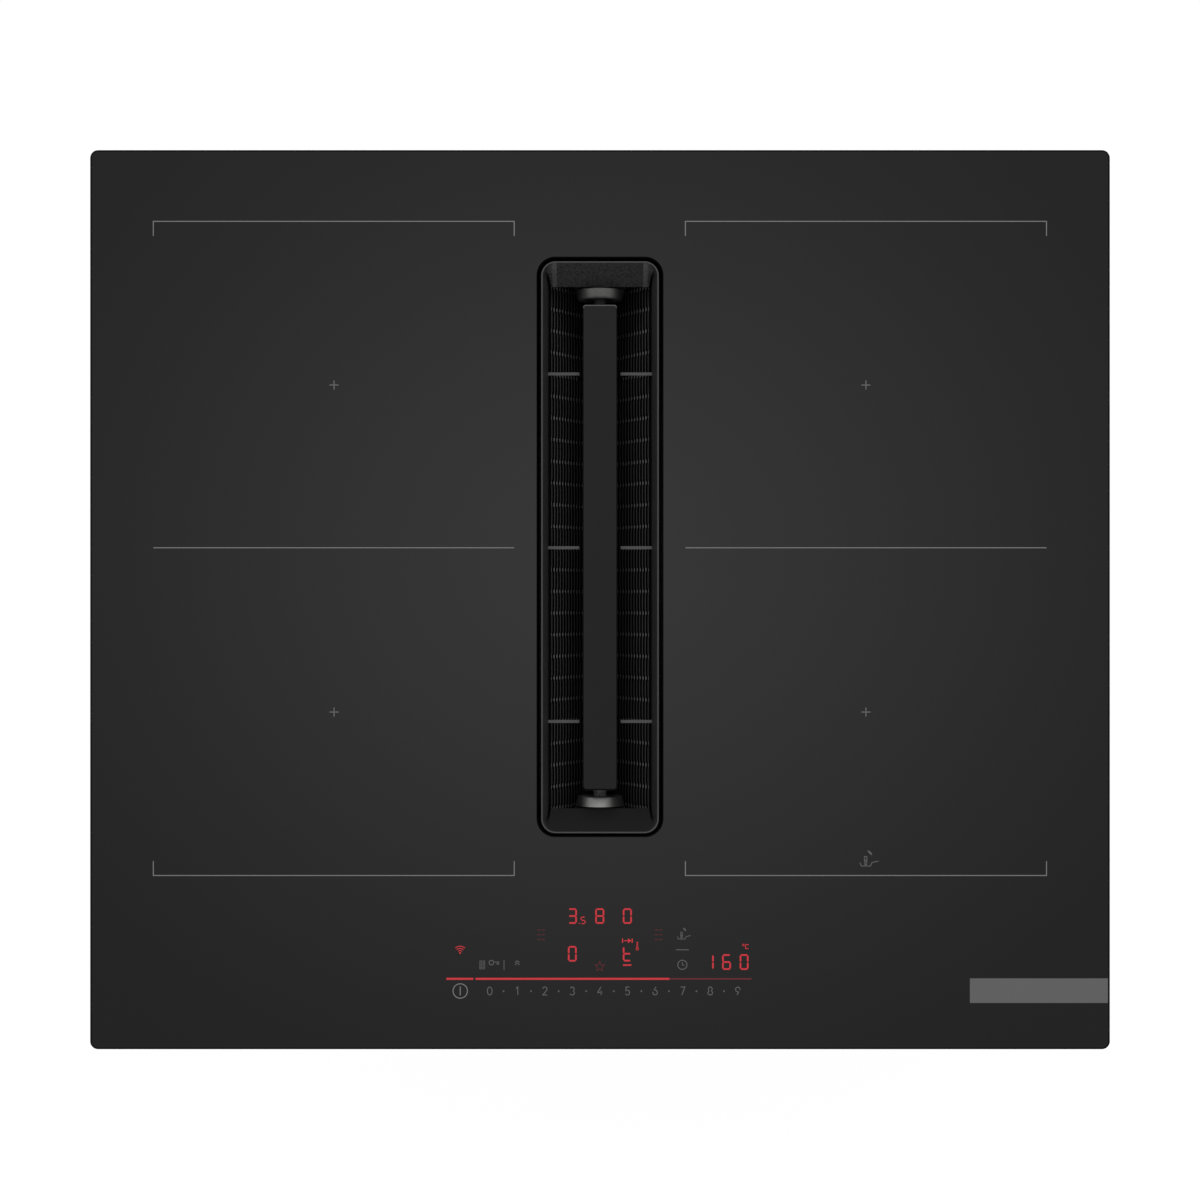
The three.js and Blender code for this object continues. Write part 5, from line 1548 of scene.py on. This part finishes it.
def soft_sky():
    """A world that lights from the back more than from the front, and that the camera sees as white."""
    world = bpy.data.worlds.new("studio_world")
    bpy.context.scene.world = world
    world.use_nodes = True
    world.node_tree.nodes.clear()
    sky = Nodes(world.node_tree)
    back = sky.node("SeparateXYZ", inputs=(sky.node("TexCoord", output="Generated"),), output="Y")
    ends = {"From Min": -1.0, "From Max": 1.0, "To Min": SKY["front"], "To Max": SKY["back"]}
    strength = sky.node("MapRange", inputs={"Value": back, **ends})
    light = sky.node("Background", inputs={"Color": WHITE, "Strength": strength})
    seen = sky.node("Background", inputs={"Color": WHITE, "Strength": 1.0})
    both = sky.node("MixShader", inputs=(sky.node("LightPath", output="Is Camera Ray"), light, seen))
    sky.feed(world.node_tree.nodes.new("ShaderNodeOutputWorld").inputs["Surface"], both)


def lamps():
    """Two large soft lamps, behind and in front."""
    for name, place, power in LAMPS:
        light = bpy.data.lights.new(name, "AREA")
        light.shape = "SQUARE"
        light.size = LAMP_SIZE
        light.energy = power
        lamp = bpy.data.objects.new(name, light)
        lamp.location = place
        lamp.rotation_mode = "QUATERNION"
        lamp.rotation_quaternion = (LAMP_AIM - Vector(place)).to_track_quat("-Z", "Y")
        bpy.context.scene.collection.objects.link(lamp)


def camera_above():
    """The camera, which looks straight down on the glass."""
    camera = bpy.data.cameras.new("camera")
    camera.lens = 80.0
    camera.sensor_width = 36.0
    camera.clip_start = 0.05
    camera.clip_end = 50.0
    eye = bpy.data.objects.new("camera", camera)
    eye.location = EYE
    bpy.context.scene.collection.objects.link(eye)
    bpy.context.scene.camera = eye
    bpy.context.scene.view_settings.view_transform = "Standard"


glass_plate()
zone_marks()
control_marks()
slider_digits()
plain_plate()
display()
filter_casting()
louvre_sheet(1, "louvre_sheet_right", "filter_mesh_right")
louvre_sheet(-1, "louvre_sheet_left", "filter_mesh_left")
grip_bar()
bar_pins()
fan_housing_lower()
fan_housing_upper()
plenum_trim()
outlet_trim()
tray_details()
clamp_screws()
container_trim()
terminal_trim()
dress_nodes()
pale_floor()
soft_sky()
lamps()
camera_above()
